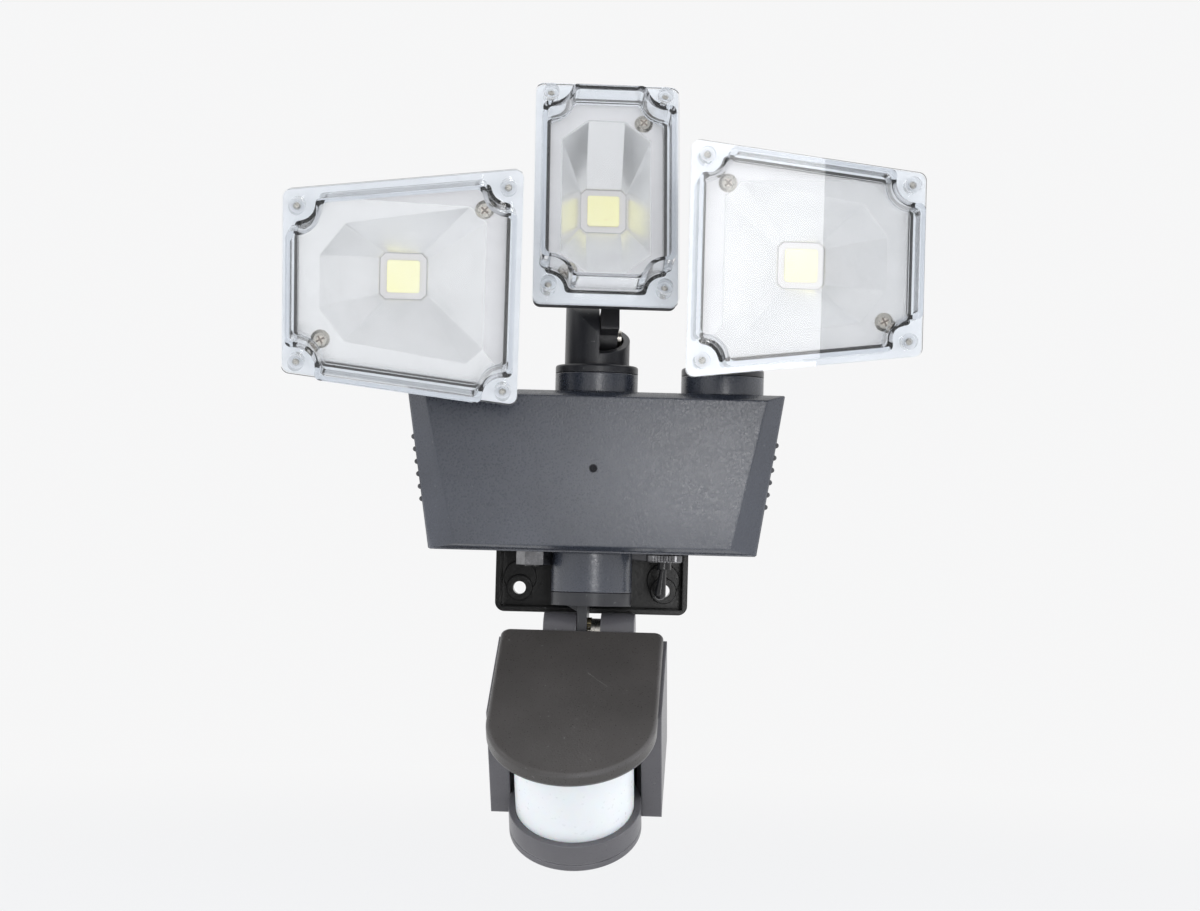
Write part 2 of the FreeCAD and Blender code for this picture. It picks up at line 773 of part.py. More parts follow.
def build_housing_fittings():
    """Seal, long screws, cells, holder and control board."""
    outer = extrude("seal_block", outline("seal_outer", "front", "dim.body_parting - dim.seal_section",
                                          trapezoid(*rear_outline, inset="dim.body_wall")),
                    "dim.seal_section")
    inner = extrude("seal_space", outline("seal_inner", "front", "dim.body_parting - 2 * dim.seal_section",
                                          trapezoid(*rear_outline,
                                                    inset="dim.body_wall + dim.seal_section")),
                    "3 * dim.seal_section")
    deliver("housing_seal", cut("housing_seal_ring", outer, inner))
    screws = []
    for index, (x, z) in enumerate(screw_post_places()):
        head = rod("long_head_%d" % index, "dim.lens_screw_head",
                   (x, "-dim.body_rear - dim.body_wall / 4", z), "dim.body_wall * 3 / 4", "-Y")
        shank = rod("long_shank_%d" % index, "dim.lens_screw_radius",
                    (x, "-dim.body_rear - dim.body_wall / 4", z),
                    "dim.body_parting - dim.body_rear + 2 * dim.lap", "-Y")
        screws.append(fuse("long_screw_%d" % index, head, shank))
    deliver("housing_screws", gather("housing_screw_set", *screws))
    cells = []
    back = "dim.body_rear + dim.body_wall + dim.holder_wall + dim.joint_gap"
    for step in SIDES:
        centre = "dim.body_lift + %d * dim.cell_pitch / 2" % step
        cells.append(rod("cell_%d" % step, "dim.cell_radius",
                         ("-dim.cell_length / 2", "-(%s + dim.cell_radius)" % back, centre),
                         "dim.cell_length", "X"))
    deliver("battery_cells", gather("battery_cell_pair", *cells))
    half = "(dim.cell_length / 2 + dim.joint_gap + dim.holder_wall)"
    half_up = "(dim.cell_pitch / 2 + dim.cell_radius + dim.joint_gap + dim.holder_wall)"
    front = "-(%s + dim.cell_radius)" % back
    block = box("holder_block", ("-" + half, front, "dim.body_lift - " + half_up),
                (half, "-dim.body_rear - dim.body_wall", "dim.body_lift + " + half_up))
    space = box("holder_space",
                ("-(dim.cell_length / 2 + dim.joint_gap)", front + " - dim.lap",
                 "dim.body_lift - %s + dim.holder_wall" % half_up),
                ("dim.cell_length / 2 + dim.joint_gap", "-dim.body_rear - dim.body_wall - dim.holder_wall",
                 "dim.body_lift + %s - dim.holder_wall" % half_up))
    deliver("battery_holder", cut("battery_holder_tray", block, space))
    board = new_body("control_board")
    face = body_sketch(board, "board_outline", "XZ_Plane",
                       "dim.body_front - dim.body_wall - dim.board_stand - dim.board_thickness")
    draw_polygon(face, rectangle("dim.board_width", "dim.board_height", "0", "dim.body_lift"))
    pad(board, face, "dim.board_thickness", "board_plate")
    deliver("control_board", board)


# ---- lamp collar and knuckle ------------------------------------------------

def build_collar(name, x):
    """Fixed collar on top of the housing, bored for the knuckle's stem."""
    start = (x, "-dim.axis_depth", body_top)
    block = rod("collar_block_" + name, "dim.collar_radius", start, "dim.collar_height")
    bore = rod("collar_bore_" + name, "dim.stem_radius", start, "dim.collar_height")
    deliver("lamp_collar_" + name, cut("collar_ring_" + name, block, bore))


def build_knuckle(name, place):
    """Swivelling cup: solid cheek on the left, slanted hollow cup on the right."""
    tag = "_" + name
    pivot = "(dim.ring_height + dim.pivot_rise)"
    ring = rod("ring_block" + tag, "dim.collar_radius", (0, 0, 0), "dim.ring_height")
    ring = round_edges("ring" + tag, ring, "dim.ring_height / 3",
                       lambda edge: edge.BoundBox.ZMin > size("ring_height") - 0.01)
    stem_drop = "(dim.collar_height + dim.body_wall + 2 * dim.joint_gap)"
    stem = rod("stem" + tag, "dim.stem_radius - dim.running_gap", (0, 0, "-" + stem_drop),
               stem_drop + " + dim.lap")
    keeper = rod("keeper" + tag, "dim.stem_radius + dim.stem_collar",
                 (0, 0, "-%s - dim.stem_collar" % stem_drop), "dim.stem_collar")
    column = rod("column" + tag, "dim.cup_radius", (0, 0, "dim.ring_height / 2"),
                 pivot + " + dim.cup_radius")
    dome = rod("dome" + tag, "dim.cup_radius", ("-dim.cup_radius", 0, pivot), "2 * dim.cup_radius", "X")
    root = box("dome_root" + tag, ("-dim.cup_radius", "-dim.cup_radius", "0"),
               ("dim.cup_radius", "dim.cup_radius", pivot))
    cup = common("cup" + tag, column, fuse("dome_form" + tag, dome, root))
    hollow_round = rod("hollow_round" + tag, "dim.cup_radius - dim.cup_wall",
                       (0, 0, "dim.ring_height + dim.cup_floor"), pivot + " + dim.cup_radius")
    hollow_half = box("hollow_half" + tag, ("0", "-dim.cup_radius", "0"),
                      ("dim.cup_radius", "dim.cup_radius", pivot + " + 2 * dim.cup_radius"))
    hollow = common("hollow" + tag, hollow_round, hollow_half)
    rim = [("-dim.cup_radius - dim.lap", "dim.ring_height + dim.rim_front"),
           ("dim.cup_radius + dim.lap", "dim.ring_height + dim.rim_rear"),
           ("dim.cup_radius + dim.lap", pivot + " + 3 * dim.cup_radius"),
           ("-dim.cup_radius - dim.lap", pivot + " + 3 * dim.cup_radius")]
    slant = extrude("slant" + tag, outline("slant_outline" + tag, "side", "0", rim),
                    "dim.cup_radius + dim.lap")
    bore = rod("cheek_bore" + tag, "dim.pivot_radius + dim.running_gap",
               ("-dim.pivot_bite - dim.lap / 2", 0, pivot), "dim.pivot_bite + dim.lap / 2", "X")
    solid = fuse("knuckle_solid" + tag, ring, stem, keeper, cup)
    knuckle = cut("knuckle_cut" + tag, solid, hollow, slant, bore)
    deliver("knuckle_" + name, knuckle, place)
    shank = rod("pivot_shank" + tag, "dim.pivot_radius", ("-dim.pivot_bite", 0, pivot),
                "dim.pivot_bite + dim.tongue_thickness + 3 * dim.joint_gap", "X")
    head = rod("pivot_head" + tag, "dim.pivot_head_radius",
               ("dim.tongue_thickness + 2 * dim.joint_gap", 0, pivot), "dim.pivot_head_height", "X")
    deliver("pivot_screw_" + name, fuse("pivot_screw_solid" + tag, shank, head), place)


# ---- lamp heads ---------------------------------------------------------------
# Each head is drawn about its own pivot, looking along -Y, and placed after.

class Head:
    """Sizes of one lamp head as sheet expressions."""

    def __init__(self, name, side, wide):
        self.name = name
        self.side = side
        self.wide = wide
        kind = "wide" if wide else "centre"
        self.reach = "dim.%s_reach" % kind
        self.lift = "dim.%s_lift" % kind
        if wide:
            self.inner = "dim.wide_inner"
            self.outer = "(dim.wide_width - dim.wide_inner)"
            self.inner_height = "dim.wide_inner_height"
            self.outer_height = "dim.wide_outer_height"
        else:
            self.inner = "(dim.centre_width / 2)"
            self.outer = "(dim.centre_width / 2)"
            self.inner_height = "dim.centre_height"
            self.outer_height = "dim.centre_height"

    def corners(self, inset, inset_z=None):
        """Inner-low, outer-low, outer-high and inner-high corner."""
        inset_z = inset if inset_z is None else inset_z
        inner = "%d * (-%s + (%s))" % (self.side, self.inner, inset)
        outer = "%d * (%s - (%s))" % (self.side, self.outer, inset)
        slope = "((%s - %s) / 2 / (%s + %s))" % (self.inner_height, self.outer_height, self.inner,
                                                 self.outer)
        inner_half = "(%s / 2 - (%s) - (%s) * %s)" % (self.inner_height, inset_z, inset, slope)
        outer_half = "(%s / 2 - (%s) + (%s) * %s)" % (self.outer_height, inset_z, inset, slope)
        return [(inner, "%s - %s" % (self.lift, inner_half)),
                (outer, "%s - %s" % (self.lift, outer_half)),
                (outer, "%s + %s" % (self.lift, outer_half)),
                (inner, "%s + %s" % (self.lift, inner_half))]

    def middle(self):
        """Middle of the head, across and up."""
        return "%d * (%s - %s) / 2" % (self.side, self.outer, self.inner), self.lift

    def opening(self, grow):
        """Eight corners of the reflector's mouth, grown by a wall."""
        if self.wide:
            quad = self.corners("dim.wide_opening_inset - (%s)" % grow)
            inner_cut = ("dim.wide_cut_inner_x", "dim.wide_cut_inner_z")
            outer_cut = ("dim.wide_cut_outer_x", "dim.wide_cut_outer_z")
        else:
            quad = self.corners("dim.centre_opening_inset_x - (%s)" % grow,
                                "dim.centre_opening_inset_z - (%s)" % grow)
            inner_cut = ("dim.centre_cut_x", "dim.centre_cut_z")
            outer_cut = inner_cut
        return cut_corners(quad, self.side, inner_cut, outer_cut)

    def base(self, grow):
        """Eight corners of the small square at the light source."""
        x, z = self.middle()
        half = "(dim.reflector_base / 2 + (%s))" % grow
        inner = "%s - %d * %s" % (x, self.side, half)
        outer = "%s + %d * %s" % (x, self.side, half)
        quad = [(inner, "%s - %s" % (z, half)), (outer, "%s - %s" % (z, half)),
                (outer, "%s + %s" % (z, half)), (inner, "%s + %s" % (z, half))]
        small = ("dim.reflector_base_cut", "dim.reflector_base_cut")
        return cut_corners(quad, self.side, small, small)


def cut_corners(quad, side, inner_cut, outer_cut):
    """Eight-cornered outline: each corner of four is cut across."""
    low_in, low_out, high_out, high_in = quad
    inner_x = "%d * (%s)" % (side, inner_cut[0])
    outer_x = "%d * (%s)" % (side, outer_cut[0])
    return [("%s + %s" % (low_in[0], inner_x), low_in[1]),
            ("%s - %s" % (low_out[0], outer_x), low_out[1]),
            (low_out[0], "%s + %s" % (low_out[1], outer_cut[1])),
            (high_out[0], "%s - %s" % (high_out[1], outer_cut[1])),
            ("%s - %s" % (high_out[0], outer_x), high_out[1]),
            ("%s + %s" % (high_in[0], inner_x), high_in[1]),
            (high_in[0], "%s - %s" % (high_in[1], inner_cut[1])),
            (low_in[0], "%s + %s" % (low_in[1], inner_cut[1]))]


def lug_rods(head, tag, radius, start, length):
    """Round rods on the four corner screw lines of a head."""
    rods = []
    for index, (x, z) in enumerate(head.corners("dim.lug_inset")):
        rods.append(rod("%s_%s_%d" % (tag, head.name, index), radius, (x, "-(%s)" % start, z), length, "-Y"))
    return rods


def reflector_screw_places(head):
    """Two screws on opposite corners of the reflector's border."""
    if head.wide:
        quad = head.corners("dim.wide_screw_inset")
        return quad[1], quad[3]
    quad = head.corners("dim.centre_screw_inset_x", "dim.centre_screw_inset_z")
    return quad[0], quad[2]


def build_head_housing(head, place):
    """Black rear shell of a lamp head with corner lugs and pivot tongue."""
    name = head.name
    rim = "%s - dim.lens_flange" % head.reach
    waist = "%s - dim.head_rim" % rim
    back = "%s - dim.head_depth" % rim
    ledge = "%s - dim.plate_setback - dim.plate_thickness" % head.reach
    rim_prism = extrude("rim_block_" + name,
                        outline("rim_outline_" + name, "front", waist, head.corners("dim.rim_inset")),
                        "dim.head_rim")
    rim_prism = round_edges("rim_rounded_" + name, rim_prism, "dim.head_corner", runs_along(along_y))
    waist_sketch = outline("waist_outline_" + name, "front", waist,
                           head.corners("dim.rim_inset + dim.waist_step"))
    back_sketch = outline("back_outline_" + name, "front", back, head.corners("dim.head_taper"))
    shell = loft("shell_loft_" + name, [waist_sketch, back_sketch])
    lugs = lug_rods(head, "lug", "dim.lug_radius", "%s - dim.lug_length" % ledge, "dim.lug_length")
    recess = extrude("recess_" + name, outline("recess_outline_" + name, "front", ledge,
                                               head.corners("dim.rim_inset + dim.rim_wall")),
                     "dim.head_rim + 2 * dim.lap")
    waist_in = outline("waist_inside_" + name, "front", ledge + " + dim.lap / 10",
                       head.corners("dim.rim_inset + dim.rim_wall + dim.rim_ledge"))
    back_in = outline("back_inside_" + name, "front", "%s + dim.head_wall" % back,
                      head.corners("dim.head_taper + dim.head_wall"))
    space = loft("space_loft_" + name, [waist_in, back_in])
    keep = lug_rods(head, "lug_keep", "dim.lens_notch - dim.head_wall", "%s - dim.lap" % back,
                    "%s - (%s) + dim.lap" % (ledge, back))
    cavity = fuse("cavity_" + name, cut("cavity_space_" + name, space, *keep), recess)
    screws = lug_rods(head, "lug_bore", "dim.lens_screw_radius + dim.running_gap",
                      "%s - dim.lug_length - dim.lap" % ledge, "dim.lug_length + 2 * dim.lap")
    posts = []
    bores = []
    plate_back = "%s - dim.plate_setback" % head.reach
    for index, (x, z) in enumerate(reflector_screw_places(head)):
        posts.append(rod("plate_post_%s_%d" % (name, index), "dim.plate_post_radius",
                         (x, "-(%s + dim.head_wall / 2)" % back, z),
                         "%s - dim.plate_thickness - (%s + dim.head_wall / 2)" % (plate_back, back), "-Y"))
        bores.append(rod("plate_bore_%s_%d" % (name, index), "dim.reflector_screw_radius + dim.running_gap",
                         (x, "-(%s - dim.plate_thickness - dim.screw_bite - dim.lap)" % plate_back, z),
                         "dim.screw_bite + 4 * dim.lap", "-Y"))
    x, z = head.middle()
    stand = rod("heat_post_" + name, "dim.heat_post_radius", (x, "-(%s + dim.head_wall / 2)" % back, z),
                "%s - dim.plate_thickness - dim.reflector_depth - dim.cob_thickness"
                " - dim.heat_plate_thickness + dim.source_step - (%s + dim.head_wall / 2)" % (plate_back,
                                                                                              back), "-Y")
    hollow_shell = cut("hollow_shell_" + name, fuse("head_outer_" + name, rim_prism, shell, *lugs), cavity)
    tongue = build_tongue(head, back)
    solid = fuse("head_solid_" + name, hollow_shell, stand, tongue, *posts)
    deliver("head_housing_" + name, cut("head_cut_" + name, solid, *(screws + bores)), place)


def build_tongue(head, back):
    """Arm with a round eye that the knuckle's screw goes through."""
    name = head.name
    left = "dim.joint_gap"
    right = "dim.joint_gap + dim.tongue_thickness"
    eye = rod("eye_" + name, "dim.tongue_radius", (left, 0, 0), "dim.tongue_thickness", "X")
    arm = box("arm_" + name, (left, "-(%s + dim.head_wall / 2)" % back, "-dim.lap"),
              (right, "0", "dim.tongue_radius"))
    web = outline("web_outline_" + name, "side", left,
                  [("-(%s + dim.lap / 2)" % back, "-dim.web_drop"),
                   ("-(%s + dim.lap / 2)" % back, "dim.web_rise"),
                   ("-dim.cup_radius - dim.lap / 2", "dim.tongue_radius"),
                   ("-dim.cup_radius - dim.lap / 2", "-dim.lap")])
    gusset = extrude("web_" + name, web, "dim.tongue_thickness")
    joined = fuse("tongue_solid_" + name, eye, arm, gusset)
    bore = rod("eye_bore_" + name, "dim.pivot_radius + dim.running_gap", ("-dim.lap", 0, 0),
               "dim.tongue_thickness + 3 * dim.lap", "X")
    return cut("tongue_" + name, joined, bore)


def build_light_source(head, place):
    """Heat plate, LED board with its yellow emitter, and the reflector."""
    name = head.name
    x, z = head.middle()
    mouth = "%s - dim.plate_setback" % head.reach
    source = "%s - dim.plate_thickness - dim.reflector_depth" % mouth
    plate_front = "%s + dim.source_step - dim.cob_thickness" % source
    heat = box("heat_block_" + name,
               ("%s - dim.heat_plate_size / 2" % x, "-(%s)" % plate_front,
                "%s - dim.heat_plate_size / 2" % z),
               ("%s + dim.heat_plate_size / 2" % x, "-(%s - dim.heat_plate_thickness)" % plate_front,
                "%s + dim.heat_plate_size / 2" % z))
    deliver("heat_plate_" + name, heat, place * heat_origin(heat))
    half = "dim.cob_size / 2"
    board = box("cob_board_" + name, ("%s - %s" % (x, half), "-(%s + dim.source_step)" % source,
                "%s - %s" % (z, half)),
                ("%s + %s" % (x, half), "-(%s)" % plate_front, "%s + %s" % (z, half)))
    small = "dim.emitter_size / 2"
    emitter = box("emitter_" + name,
                  ("%s - %s" % (x, small), "-(%s + dim.source_step + dim.emitter_thickness)" % source,
                   "%s - %s" % (z, small)),
                  ("%s + %s" % (x, small), "-(%s + dim.source_step / 2)" % source, "%s + %s" % (z, small)))
    deliver("led_source_" + name, fuse("led_solid_" + name, board, emitter), place)
    deliver("reflector_" + name, build_reflector(head, mouth, source), place)
    screws = []
    for index, (sx, sz) in enumerate(reflector_screw_places(head)):
        cap = cone("reflector_head_%s_%d" % (name, index), "dim.reflector_screw_head",
                   "dim.reflector_screw_top", (sx, "-(%s)" % mouth, sz), "dim.reflector_screw_height", "-Y")
        shank = rod("reflector_shank_%s_%d" % (name, index), "dim.reflector_screw_radius",
                    (sx, "-(%s - dim.plate_thickness - dim.screw_bite)" % mouth, sz),
                    "dim.plate_thickness + dim.screw_bite + dim.lap / 2", "-Y")
        screws.append(fuse("reflector_screw_%s_%d" % (name, index), cap, shank))
    deliver("reflector_screws_" + name, gather("reflector_screw_set_" + name, *screws), place)


def heat_origin(block):
    """Local place of a plain block, kept when the head is placed."""
    doc.recompute()
    base = Vector(block.Placement.Base)
    for axis in ("x", "y", "z"):
        block.setExpression("Placement.Base." + axis, None)
    return Placement(base, Rotation())


def build_reflector(head, mouth, source):
    """Four-walled mirror funnel with cut corners in a flat border."""
    name = head.name
    step = "dim.plate_thickness"
    outer = loft("funnel_outer_" + name,
                 [outline("funnel_mouth_" + name, "front", mouth, head.opening("dim.reflector_wall")),
                  outline("funnel_base_" + name, "front", source + " + dim.lap / 2",
                          head.base("dim.reflector_wall"))])
    inner = loft("funnel_inner_" + name,
                 [outline("funnel_mouth_in_" + name, "front", mouth + " + dim.lap / 100", head.opening("0")),
                  outline("funnel_base_in_" + name, "front", source + " + 0.49 * dim.lap", head.base("0"))])
    border = extrude("border_" + name,
                     outline("border_outline_" + name, "front", "%s - %s" % (mouth, step),
                             head.corners("dim.border_inset")), step)
    holes = lug_rods(head, "border_bore", "dim.lens_screw_radius + dim.running_gap",
                     "%s - 2 * %s" % (mouth, step), "3 * %s" % step)
    for index, (x, z) in enumerate(reflector_screw_places(head)):
        holes.append(rod("border_hole_%s_%d" % (name, index), "dim.reflector_screw_radius + dim.running_gap",
                         (x, "-(%s - dim.screw_bite)" % mouth, z), "2 * dim.screw_bite", "-Y"))
    return cut("reflector_cut_" + name, fuse("reflector_solid_" + name, outer, border), inner, *holes)


def notched(head, tag, level, length, inset, notch):
    """Prism over a head's outline, inset, with a smooth round notch at each corner screw."""
    name = "%s_%s" % (tag, head.name)
    block = extrude(name + "_block", outline(name + "_outline", "front", level, head.corners(*inset)),
                    length)
    rods = lug_rods(head, tag + "_notch", notch, "%s - dim.lap" % level, "%s + 2 * dim.lap" % length)
    body = cut(name + "_notched", block, *rods)
    rows = [value(z) for x, z in head.corners("dim.lug_inset")]
    return round_edges(name, body, "dim.notch_blend", lambda edge: (
        runs_along(along_y)(edge) and min(abs(edge.BoundBox.ZMin - row) for row in rows) > 0.05))


def build_lens(head, place):
    """Seal, clear raised cover with notched corners, and its four screws."""
    name = head.name
    mouth = "%s - dim.plate_setback" % head.reach
    foot = "%s - dim.lens_flange" % head.reach
    height = "dim.plate_setback - dim.lens_flange"
    seal_outer = notched(head, "seal_outer", mouth, height, ["dim.seal_inset"], "dim.seal_notch")
    seal_inner = notched(head, "seal_inner", mouth + " - dim.lap", height + " + 2 * dim.lap",
                         ["dim.seal_inset + dim.seal_width"], "dim.seal_notch + dim.seal_width")
    deliver("lens_seal_" + name, cut("lens_seal_ring_" + name, seal_outer, seal_inner), place)
    flange = extrude("flange_block_" + name,
                     outline("flange_outline_" + name, "front", foot, head.corners("0")), "dim.lens_flange")
    flange = round_edges("flange_" + name, flange, "dim.head_corner", runs_along(along_y))
    side = "dim.lens_inset"
    end = "dim.lens_inset" if head.wide else "dim.centre_lens_inset_z"
    window = notched(head, "window", "%s - dim.lens_flange / 2" % head.reach,
                     "dim.lens_rise + dim.lens_flange / 2",
                     [side, end], "dim.lens_notch")
    hollow = notched(head, "hollow", head.reach, "dim.lens_rise - dim.lens_wall",
                     [side + " + dim.lens_wall", end + " + dim.lens_wall"], "dim.lens_notch + dim.lens_wall")
    low_end = "dim.seal_inset + dim.seal_width" if head.wide else end + " + dim.lens_wall"
    mouth_hole = notched(head, "foot_hole", foot + " - dim.lap", "dim.lens_flange + 1.5 * dim.lap",
                         ["dim.seal_inset + dim.seal_width", low_end], "dim.lens_notch + dim.lens_wall")
    bosses = lug_rods(head, "lens_boss", "dim.lens_boss_radius", mouth,
                      "dim.plate_setback + dim.lens_boss_height")
    bores = lug_rods(head, "lens_bore", "dim.lens_screw_radius + dim.running_gap", "%s - dim.lap" % mouth,
                     "dim.plate_setback + dim.lens_boss_height - dim.lens_flange")
    shape = fuse("lens_solid_" + name, flange, window, *bosses)
    deliver("lens_cover_" + name, cut("lens_cut_" + name, shape, hollow, mouth_hole, *bores), place)
    start = "%s - dim.plate_thickness - dim.lug_length" % mouth
    heads = lug_rods(head, "lens_screw_head", "dim.lens_screw_head", start + " - dim.lens_screw_head_height",
                     "dim.lens_screw_head_height")
    shanks = lug_rods(head, "lens_screw_shank", "dim.lens_screw_radius", start + " - dim.lap",
                      "dim.lug_length + dim.plate_thickness + dim.plate_setback + dim.lens_screw_reach")
    screws = [fuse("lens_screw_%s_%d" % (name, index), top, shank)
              for index, (top, shank) in enumerate(zip(heads, shanks))]
    deliver("lens_screws_" + name, gather("lens_screw_set_" + name, *screws), place)


def build_lamp(name, side, wide, x):
    """Collar, knuckle and head of one lamp, in its rest pose."""
    yaw = Rotation(along_z, size(name + "_yaw"))
    tilt = Rotation(along_x, -size(name + "_tilt"))
    seat = size("body_lift") + size("body_height") / 2 + size("collar_height") + size("joint_gap")
    foot = Vector(value(x), -size("axis_depth"), seat)
    pivot = foot + Vector(0, 0, size("ring_height") + size("pivot_rise"))
    build_collar(name, x)
    build_knuckle(name, Placement(foot, yaw))
    head = Head(name, side, wide)
    place = Placement(pivot, yaw * tilt)
    build_head_housing(head, place)
    build_light_source(head, place)
    build_lens(head, place)


# ---- sensor ---------------------------------------------------------------------

def build_sensor_swivel(place):
    """Ring that turns under the collar, with a blade to the sensor's pivot."""
    drop = "(dim.sensor_ring_height + dim.sensor_pivot_drop)"
    ring = rod("swivel_ring", "dim.sensor_collar_radius", (0, 0, 0), "dim.sensor_ring_height", "-Z")
    stem_rise = "(dim.sensor_collar_height + dim.body_wall + 2 * dim.joint_gap)"
    stem = rod("swivel_stem", "dim.stem_radius - dim.running_gap", (0, 0, "-dim.lap"),
               stem_rise + " + dim.lap")
    keeper = rod("swivel_keeper", "dim.stem_radius + dim.stem_collar", (0, 0, stem_rise), "dim.stem_collar")
    left = "-dim.blade_left"
    eye = rod("blade_eye", "dim.blade_radius", (left, 0, "-" + drop), "dim.blade_thickness", "X")
    neck = box("blade_neck", (left, "-dim.blade_radius", "-" + drop),
               ("dim.blade_thickness - dim.blade_left", "dim.blade_radius",
                "-dim.sensor_ring_height + dim.lap / 2"))
    high = "-dim.sensor_ring_height + dim.lap / 2"
    low = "-dim.sensor_ring_height - dim.gusset_height / 2"
    wedge = outline("gusset_outline", "front", "-dim.gusset_depth / 2",
                    [("%s + dim.lap / 2" % left, high),
                     ("%s - dim.gusset_width" % left, high),
                     ("%s - dim.gusset_width" % left, "-dim.sensor_ring_height"),
                     ("%s - dim.lap / 10" % left, low),
                     ("%s + dim.lap / 2" % left, low)])
    gusset = extrude("gusset", wedge, "dim.gusset_depth")
    bore = rod("blade_bore", "dim.pivot_radius + dim.running_gap", ("-dim.lug_left_outer", 0, "-" + drop),
               "2 * dim.lug_left_outer", "X")
    solid = fuse("swivel_solid", ring, stem, keeper, eye, neck, gusset)
    deliver("sensor_swivel", cut("swivel_cut", solid, bore), place)


def build_sensor_pivot(place):
    """Cross screw through both barrels with its round nut in the gap."""
    shank = rod("sensor_shank", "dim.pivot_radius", ("-dim.lug_left_outer + dim.sensor_screw_inset", 0, 0),
                "dim.lug_left_outer + dim.lug_right_outer - 2 * dim.sensor_screw_inset", "X")
    nut_left = "(dim.blade_thickness - dim.blade_left + dim.lug_gap)"
    nut = rod("sensor_nut", "dim.sensor_nut_radius", (nut_left, 0, 0), "dim.lug_right_inner - " + nut_left,
              "X")
    deliver("sensor_pivot_screw", fuse("sensor_pivot_solid", shank, nut), place)


def d_outline(name, level, half, rear, front, length):
    """Straight-sided solid with a half-round nose, about the sensor's middle."""
    block = box(name + "_block", ("-(%s)" % half, "-(%s)" % front, level), (half, "-(%s)" % rear,
                "(%s) + (%s)" % (level, length)))
    nose = rod(name + "_nose", half, (0, "-(%s)" % front, level), length)
    return fuse(name, block, nose)


def build_sensor_head(place):
    """Cap, rear shell, milky window, base cup, board, detector and knobs."""
    centre = "dim.window_forward"
    cap_low = "(dim.cap_top - dim.cap_thickness)"
    cap = d_outline("cap_form", cap_low, "dim.cap_width / 2", "dim.cap_rear",
                    "(dim.cap_rear + dim.cap_length - dim.cap_width / 2)", "dim.cap_thickness")
    cap = round_edges("cap_corners", cap, "dim.tray_corner", lambda edge: (
        runs_along(along_z)(edge) and edge.BoundBox.YMax > -size("cap_rear") - 0.01))
    cap = round_edges("cap_edges", cap, "dim.cap_edge",
                      lambda edge: edge.BoundBox.ZMin > size("cap_top") - 0.01)
    deliver("sensor_cap", cap, place)
    floor = "-dim.shell_bottom"
    block = box("shell_block", ("-dim.shell_half_width", "-dim.shell_front", floor),
                ("dim.shell_half_width", "-dim.shell_rear", cap_low))
    space = box("shell_space",
                ("-dim.shell_half_width + dim.shell_wall", "-dim.shell_front - dim.lap",
                 floor + " + dim.shell_wall"),
                ("dim.shell_half_width - dim.shell_wall", "-dim.shell_rear - dim.shell_wall",
                 cap_low + " + dim.lap"))
    cheeks = [shell_cheek(side, cap_low) for side in SIDES]
    bay = rod("shell_bay", "dim.base_radius + dim.joint_gap", (0, "-" + centre, floor + " - dim.lap"),
              "dim.shell_bottom + dim.lap + dim.bay_rise")
    barrels = []
    shift = "dim.sensor_shift + "
    for tag, low, high in (("left", shift + "-dim.lug_left_outer", shift + "-dim.blade_left - dim.lug_gap"),
                           ("right", shift + "dim.lug_right_inner", shift + "dim.lug_right_outer")):
        barrels.append(rod("barrel_" + tag, "dim.barrel_radius", (low, 0, 0), "(%s) - (%s)" % (high, low),
                           "X"))
        barrels.append(box("barrel_root_" + tag,
                           (low, "-dim.shell_rear - dim.shell_wall / 2", "-dim.barrel_radius"),
                           (high, "0", cap_low)))
    shell = fuse("shell_solid", cut("shell_hollow", block, space), *cheeks)
    shell = cut("shell_open", shell, bay)
    shell = fuse("shell_whole", shell, *barrels)
    bore = rod("barrel_bore", "dim.pivot_radius + dim.running_gap",
               (shift + "-dim.lug_left_outer + dim.sensor_screw_inset - dim.lap / 2", 0, 0),
               "dim.lug_left_outer + dim.lug_right_outer - 2 * dim.sensor_screw_inset + dim.lap", "X")
    deliver("sensor_shell", cut("shell_bored", shell, bore), place)
    build_sensor_window(place, centre, cap_low)
    build_sensor_base(place, centre)
    build_sensor_inside(place, centre)


def shell_cheek(side, top):
    """Front wing of the shell that closes it beside the window."""
    inner = "%d * (dim.window_radius - dim.cheek_inset)" % side
    outer = "%d * (dim.shell_half_width - dim.shell_wall / 2)" % side
    low, high = (inner, outer) if side > 0 else (outer, inner)
    return box("cheek_%d" % side, (low, "-dim.shell_front", "-dim.shell_bottom"),
               (high, "-dim.shell_front + dim.cheek_depth", top))


def build_sensor_window(place, centre, top):
    """Milky half-round window between the cap and the base cup."""
    bottom = "-dim.window_bottom - dim.window_seat"
    height = top + " + dim.window_bottom + dim.window_seat"
    tube = cut("window_tube", rod("window_outside", "dim.window_radius", (0, "-" + centre, bottom), height),
               rod("window_inside", "dim.window_radius - dim.window_wall", (0, "-" + centre, bottom),
                   height))
    front = box("window_front_half", ("-dim.window_radius", "-%s - dim.window_radius" % centre, bottom),
                ("dim.window_radius", "-%s + dim.window_back" % centre, top))
    deliver("sensor_window", common("sensor_window_skin", tube, front), place)


